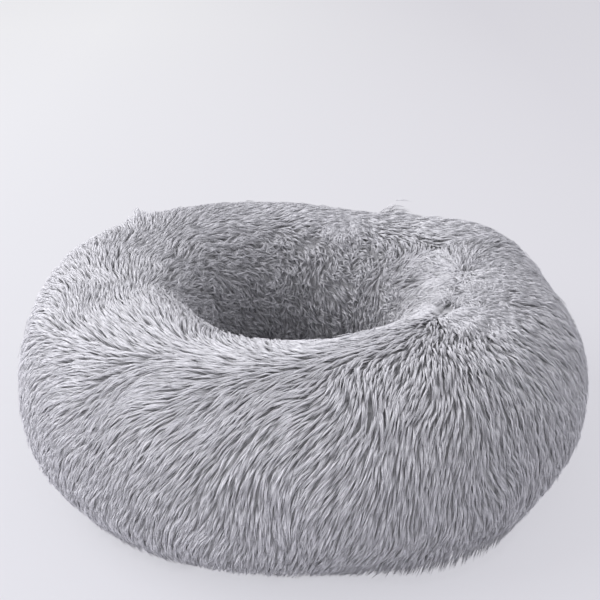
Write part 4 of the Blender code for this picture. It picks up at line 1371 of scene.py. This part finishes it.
base = {
    "seamRadius": float(sectionCurve(np.array(outerEnd))[0]),
    "bindingWidth": 0.006,
    "bindingLow": 0.001,
    "bindingHeight": 0.0065,
    "clothLift": 0.0006,  # room for the grip dots
    "cloth": 0.0009,
    "edge": 0.0084,  # from the middle to the cloth's edge at the zip
    "tapeEdge": 0.0161,
    "valleyFoot": 0.0301,  # where the zip's valley ends
    "edgeLevel": 0.0058454,  # height of the cloth at the zip
    "waddingLevel": 0.0018,
    "waddingTop": 0.0098454,
    "waddingInset": 0.004,
    "waddingLump": 0.0008,
    "waddingBevel": 0.0015,
    "waddingBevelReach": 0.006,
    "dotPitch": 0.014,
    "dotRadius": 0.0020,
    "stitchPitch": 0.0050,
    "stitchLength": 0.0034,
    "stitchWidth": 0.0007,
    "hemRows": (0.0108, 0.0143),  # rows of stitches on both sides of the zip
    "hemReach": 0.222,  # and how far they run
    "seamRow": 0.2332,  # radius of the row inside the bound edge
    "seamStitches": 290,
}
base["radius"] = (base["seamRadius"] - base["bindingWidth"] / 2) * math.cos(math.pi / 44) - 0.0003


# Height of the cloth's underside: level at the zip, then a smooth slope down to the floor's side.
def clothLevel(distance):
    fall = smoothStep(base["tapeEdge"] - 0.001, base["valleyFoot"], distance)
    return base["edgeLevel"] + (base["clothLift"] - base["edgeLevel"]) * fall


# Half a disc as a grid: rows by distance from the zip, columns by share of each row's half-width.
def halfDisc(side, radius, start, rows, columns):
    share = np.linspace(0, 1, rows)
    distance = start + (radius - start) * (1 - (1 - share) ** 1.6) * 0.99985
    across = np.sin(np.linspace(-math.pi / 2, math.pi / 2, columns))
    width = np.sqrt(np.maximum(radius**2 - distance**2, 0))
    x = width[:, None] * across[None, :]
    y = np.broadcast_to(side * distance[:, None], x.shape)
    return x, y


# Thread stitches: a short four-sided spindle at each place, laid along its direction.
def addStitches(name, places, along, up):
    side = np.cross(up, along)
    length, width = base["stitchLength"], base["stitchWidth"]
    ends = [(-0.5, 0, 0), (0.5, 0, 0)]
    corners = ((0.5, 0), (0, 0.5), (-0.5, 0), (0, -0.5))
    collars = [(x, y, z) for x in (-0.27, 0.27) for y, z in corners]
    form = np.array(ends + collars)[None]
    points = (places[:, None] + along[:, None] * form[..., :1] * length
              + side[:, None] * form[..., 1:2] * width + up[:, None] * form[..., 2:3] * width)
    faces = []
    for i in range(4):
        k = (i + 1) % 4
        faces += [(0, 2 + k, 2 + i), (1, 6 + i, 6 + k)]
        faces += [(2 + i, 2 + k, 6 + k), (2 + i, 6 + k, 6 + i)]
    starts = (np.arange(len(places)) * form.shape[1])[:, None, None]
    triangles = (np.array(faces)[None] + starts).reshape(-1, 3)
    return addMesh(name, points, [triangles], finishes["thread"], turn=True)


def makeBase(side, place):
    x, y = halfDisc(side, base["radius"], base["edge"], 40, 73)
    low = np.stack([x, y, clothLevel(np.abs(y))], axis=-1)
    top = low + np.array([0, 0, base["cloth"]])
    cloth = addShell("base%sCloth" % place, top, low, False, finishes["base"])
    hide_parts("base_panel_" + place.lower())

    start = base["valleyFoot"] + 0.0003
    rim = base["radius"] - base["waddingInset"]
    x, y = halfDisc(side, rim, start, 22, 49)
    soft = base["waddingLump"] * (1 + waves(np.stack([x, y, 0 * x], axis=-1), 0.05, 41))
    inward = np.clip((rim - np.hypot(x, y)) / base["waddingBevelReach"], 0, 1)
    bevel = base["waddingBevel"] * (1 - np.sqrt(1 - (1 - inward) ** 2))
    top = np.stack([x, y, base["waddingTop"] - soft * inward - bevel], axis=-1)
    low = np.stack([x, y, base["waddingLevel"] + bevel], axis=-1)
    pad = addShell("base%sWadding" % place, top, low, False, finishes["fibre"])
    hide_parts("base_wadding_" + place.lower())


# Grip dots: low eight-sided domes in rows that stand off from each other by half a pitch.
def addDots():
    pitch = base["dotPitch"]
    i, j = np.meshgrid(np.arange(-18, 19), np.arange(-20, 21), indexing="ij")
    x = (i + 0.5 * (j % 2)) * pitch
    y = j * pitch * math.sqrt(3) / 2
    keep = (np.hypot(x, y) < base["radius"] - 0.008) & (np.abs(y) > base["valleyFoot"] + 0.003)
    x, y = x[keep], y[keep]
    a = np.linspace(0, 2 * math.pi, 9)[:-1]
    rings = ((1.0, base["clothLift"] + 0.0002), (0.86, 0.00018), (0.50, 0.0))  # radius, height
    radius = base["dotRadius"]
    form = np.concatenate([
        np.stack([share * radius * np.cos(a), share * radius * np.sin(a), np.full(8, z)], axis=-1)
        for share, z in rings
    ])
    points = form[None] + np.stack([x, y, 0 * x], axis=-1)[:, None]
    faces = []
    for ringIndex in range(2):
        for n in range(8):
            p, q = 8 * ringIndex + n, 8 * ringIndex + (n + 1) % 8
            faces += [(p, p + 8, q + 8), (p, q + 8, q)]
    for n in range(1, 7):
        faces += [(0, n, n + 1), (16, 16 + n + 1, 16 + n)]
    starts = (np.arange(len(x)) * len(form))[:, None, None]
    triangles = (np.array(faces)[None] + starts).reshape(-1, 3)
    dots = addMesh("gripDots", points, [triangles], finishes["dots"], turn=True)


for side, place in ((-1, "Front"), (1, "Rear")):
    makeBase(side, place)
addDots()
addBinding("baseBinding", base["seamRadius"], base["bindingWidth"], base["bindingLow"],
           base["bindingLow"] + base["bindingHeight"], "base_binding", base["seamStitches"])

# stitches: one round inside the bound edge, and straight rows beside the zip
seamTurn = 2 * math.pi * np.arange(base["seamStitches"]) / base["seamStitches"]
seamR = base["seamRow"]
seamPlace = np.stack([seamR * np.cos(seamTurn), seamR * np.sin(seamTurn),
                      0 * seamTurn + base["clothLift"]], axis=-1)
clear = np.abs(seamPlace[:, 1]) > base["valleyFoot"]
seamAlong = np.stack([-np.sin(seamTurn), np.cos(seamTurn), 0 * seamTurn], axis=-1)
places, alongs = [seamPlace[clear]], [seamAlong[clear]]
for row in base["hemRows"]:
    x = np.arange(-base["hemReach"], base["hemReach"] + 0.0001, base["stitchPitch"])
    for sideSign in (-1, 1):
        level = clothLevel(np.full(len(x), row))
        places.append(np.stack([x, np.full(len(x), sideSign * row), level], axis=-1))
        alongs.append(np.tile([1.0, 0, 0], (len(x), 1)))
places, alongs = np.concatenate(places), np.concatenate(alongs)
stitches = addStitches("baseStitches", places, alongs, np.tile([0, 0, -1.0], (len(places), 1)))
print("base made")

# zip: tapes, and the CAD's own teeth, stops, slider and pull

zipTape = {
    "near": 0.0011,  # from the middle to the tape's near and far edge
    "far": 0.0161,
    "low": 0.0076454,
    "thickness": 0.0006,
    "cord": 0.0014,  # width of the thicker edge that carries the teeth
    "clear": 0.0001,  # how far the tape stays inside its thickness
    "rib": 0.00008,
    "ribPitch": 0.0013,
}


def makeTape(side, place):
    reach = math.sqrt(base["radius"] ** 2 - zipTape["far"] ** 2)
    x = np.linspace(-reach, reach, 190)[:, None]
    out = np.concatenate([np.linspace(0, zipTape["cord"], 5), np.linspace(0.002, 0.015, 12)])
    out = out[None, :]
    y = side * (zipTape["near"] + out)
    rib = zipTape["rib"] * np.cos(out * 2 * math.pi / zipTape["ribPitch"])
    topLevel = zipTape["low"] + zipTape["thickness"] - zipTape["clear"] + rib
    lowLevel = zipTape["low"] + zipTape["clear"] - rib
    top = np.stack(np.broadcast_arrays(x, y, topLevel), axis=-1)
    low = np.stack(np.broadcast_arrays(x, y, lowLevel), axis=-1)
    tape = addShell("zip%sTape" % place, top, low, False, finishes["tape"])
    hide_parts("zip_tape_" + place.lower())


for side, place in ((-1, "Front"), (1, "Rear")):
    makeTape(side, place)
for node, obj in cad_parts.items():
    if node.startswith("zip_teeth"):
        obj.material_slots[0].material = finishes["teeth"]
    elif node in ("zip_slider", "zip_pull") or node.startswith(("zip_top_stop", "zip_bottom_stop")):
        obj.material_slots[0].material = finishes["metal"]
print("zip made")

# the pile, and the end

growRingPile(skin, pileMaterial("ringPlush", pileLook))
growWellPile(wellSurface, pileMaterial("wellPlush", wellPileLook))
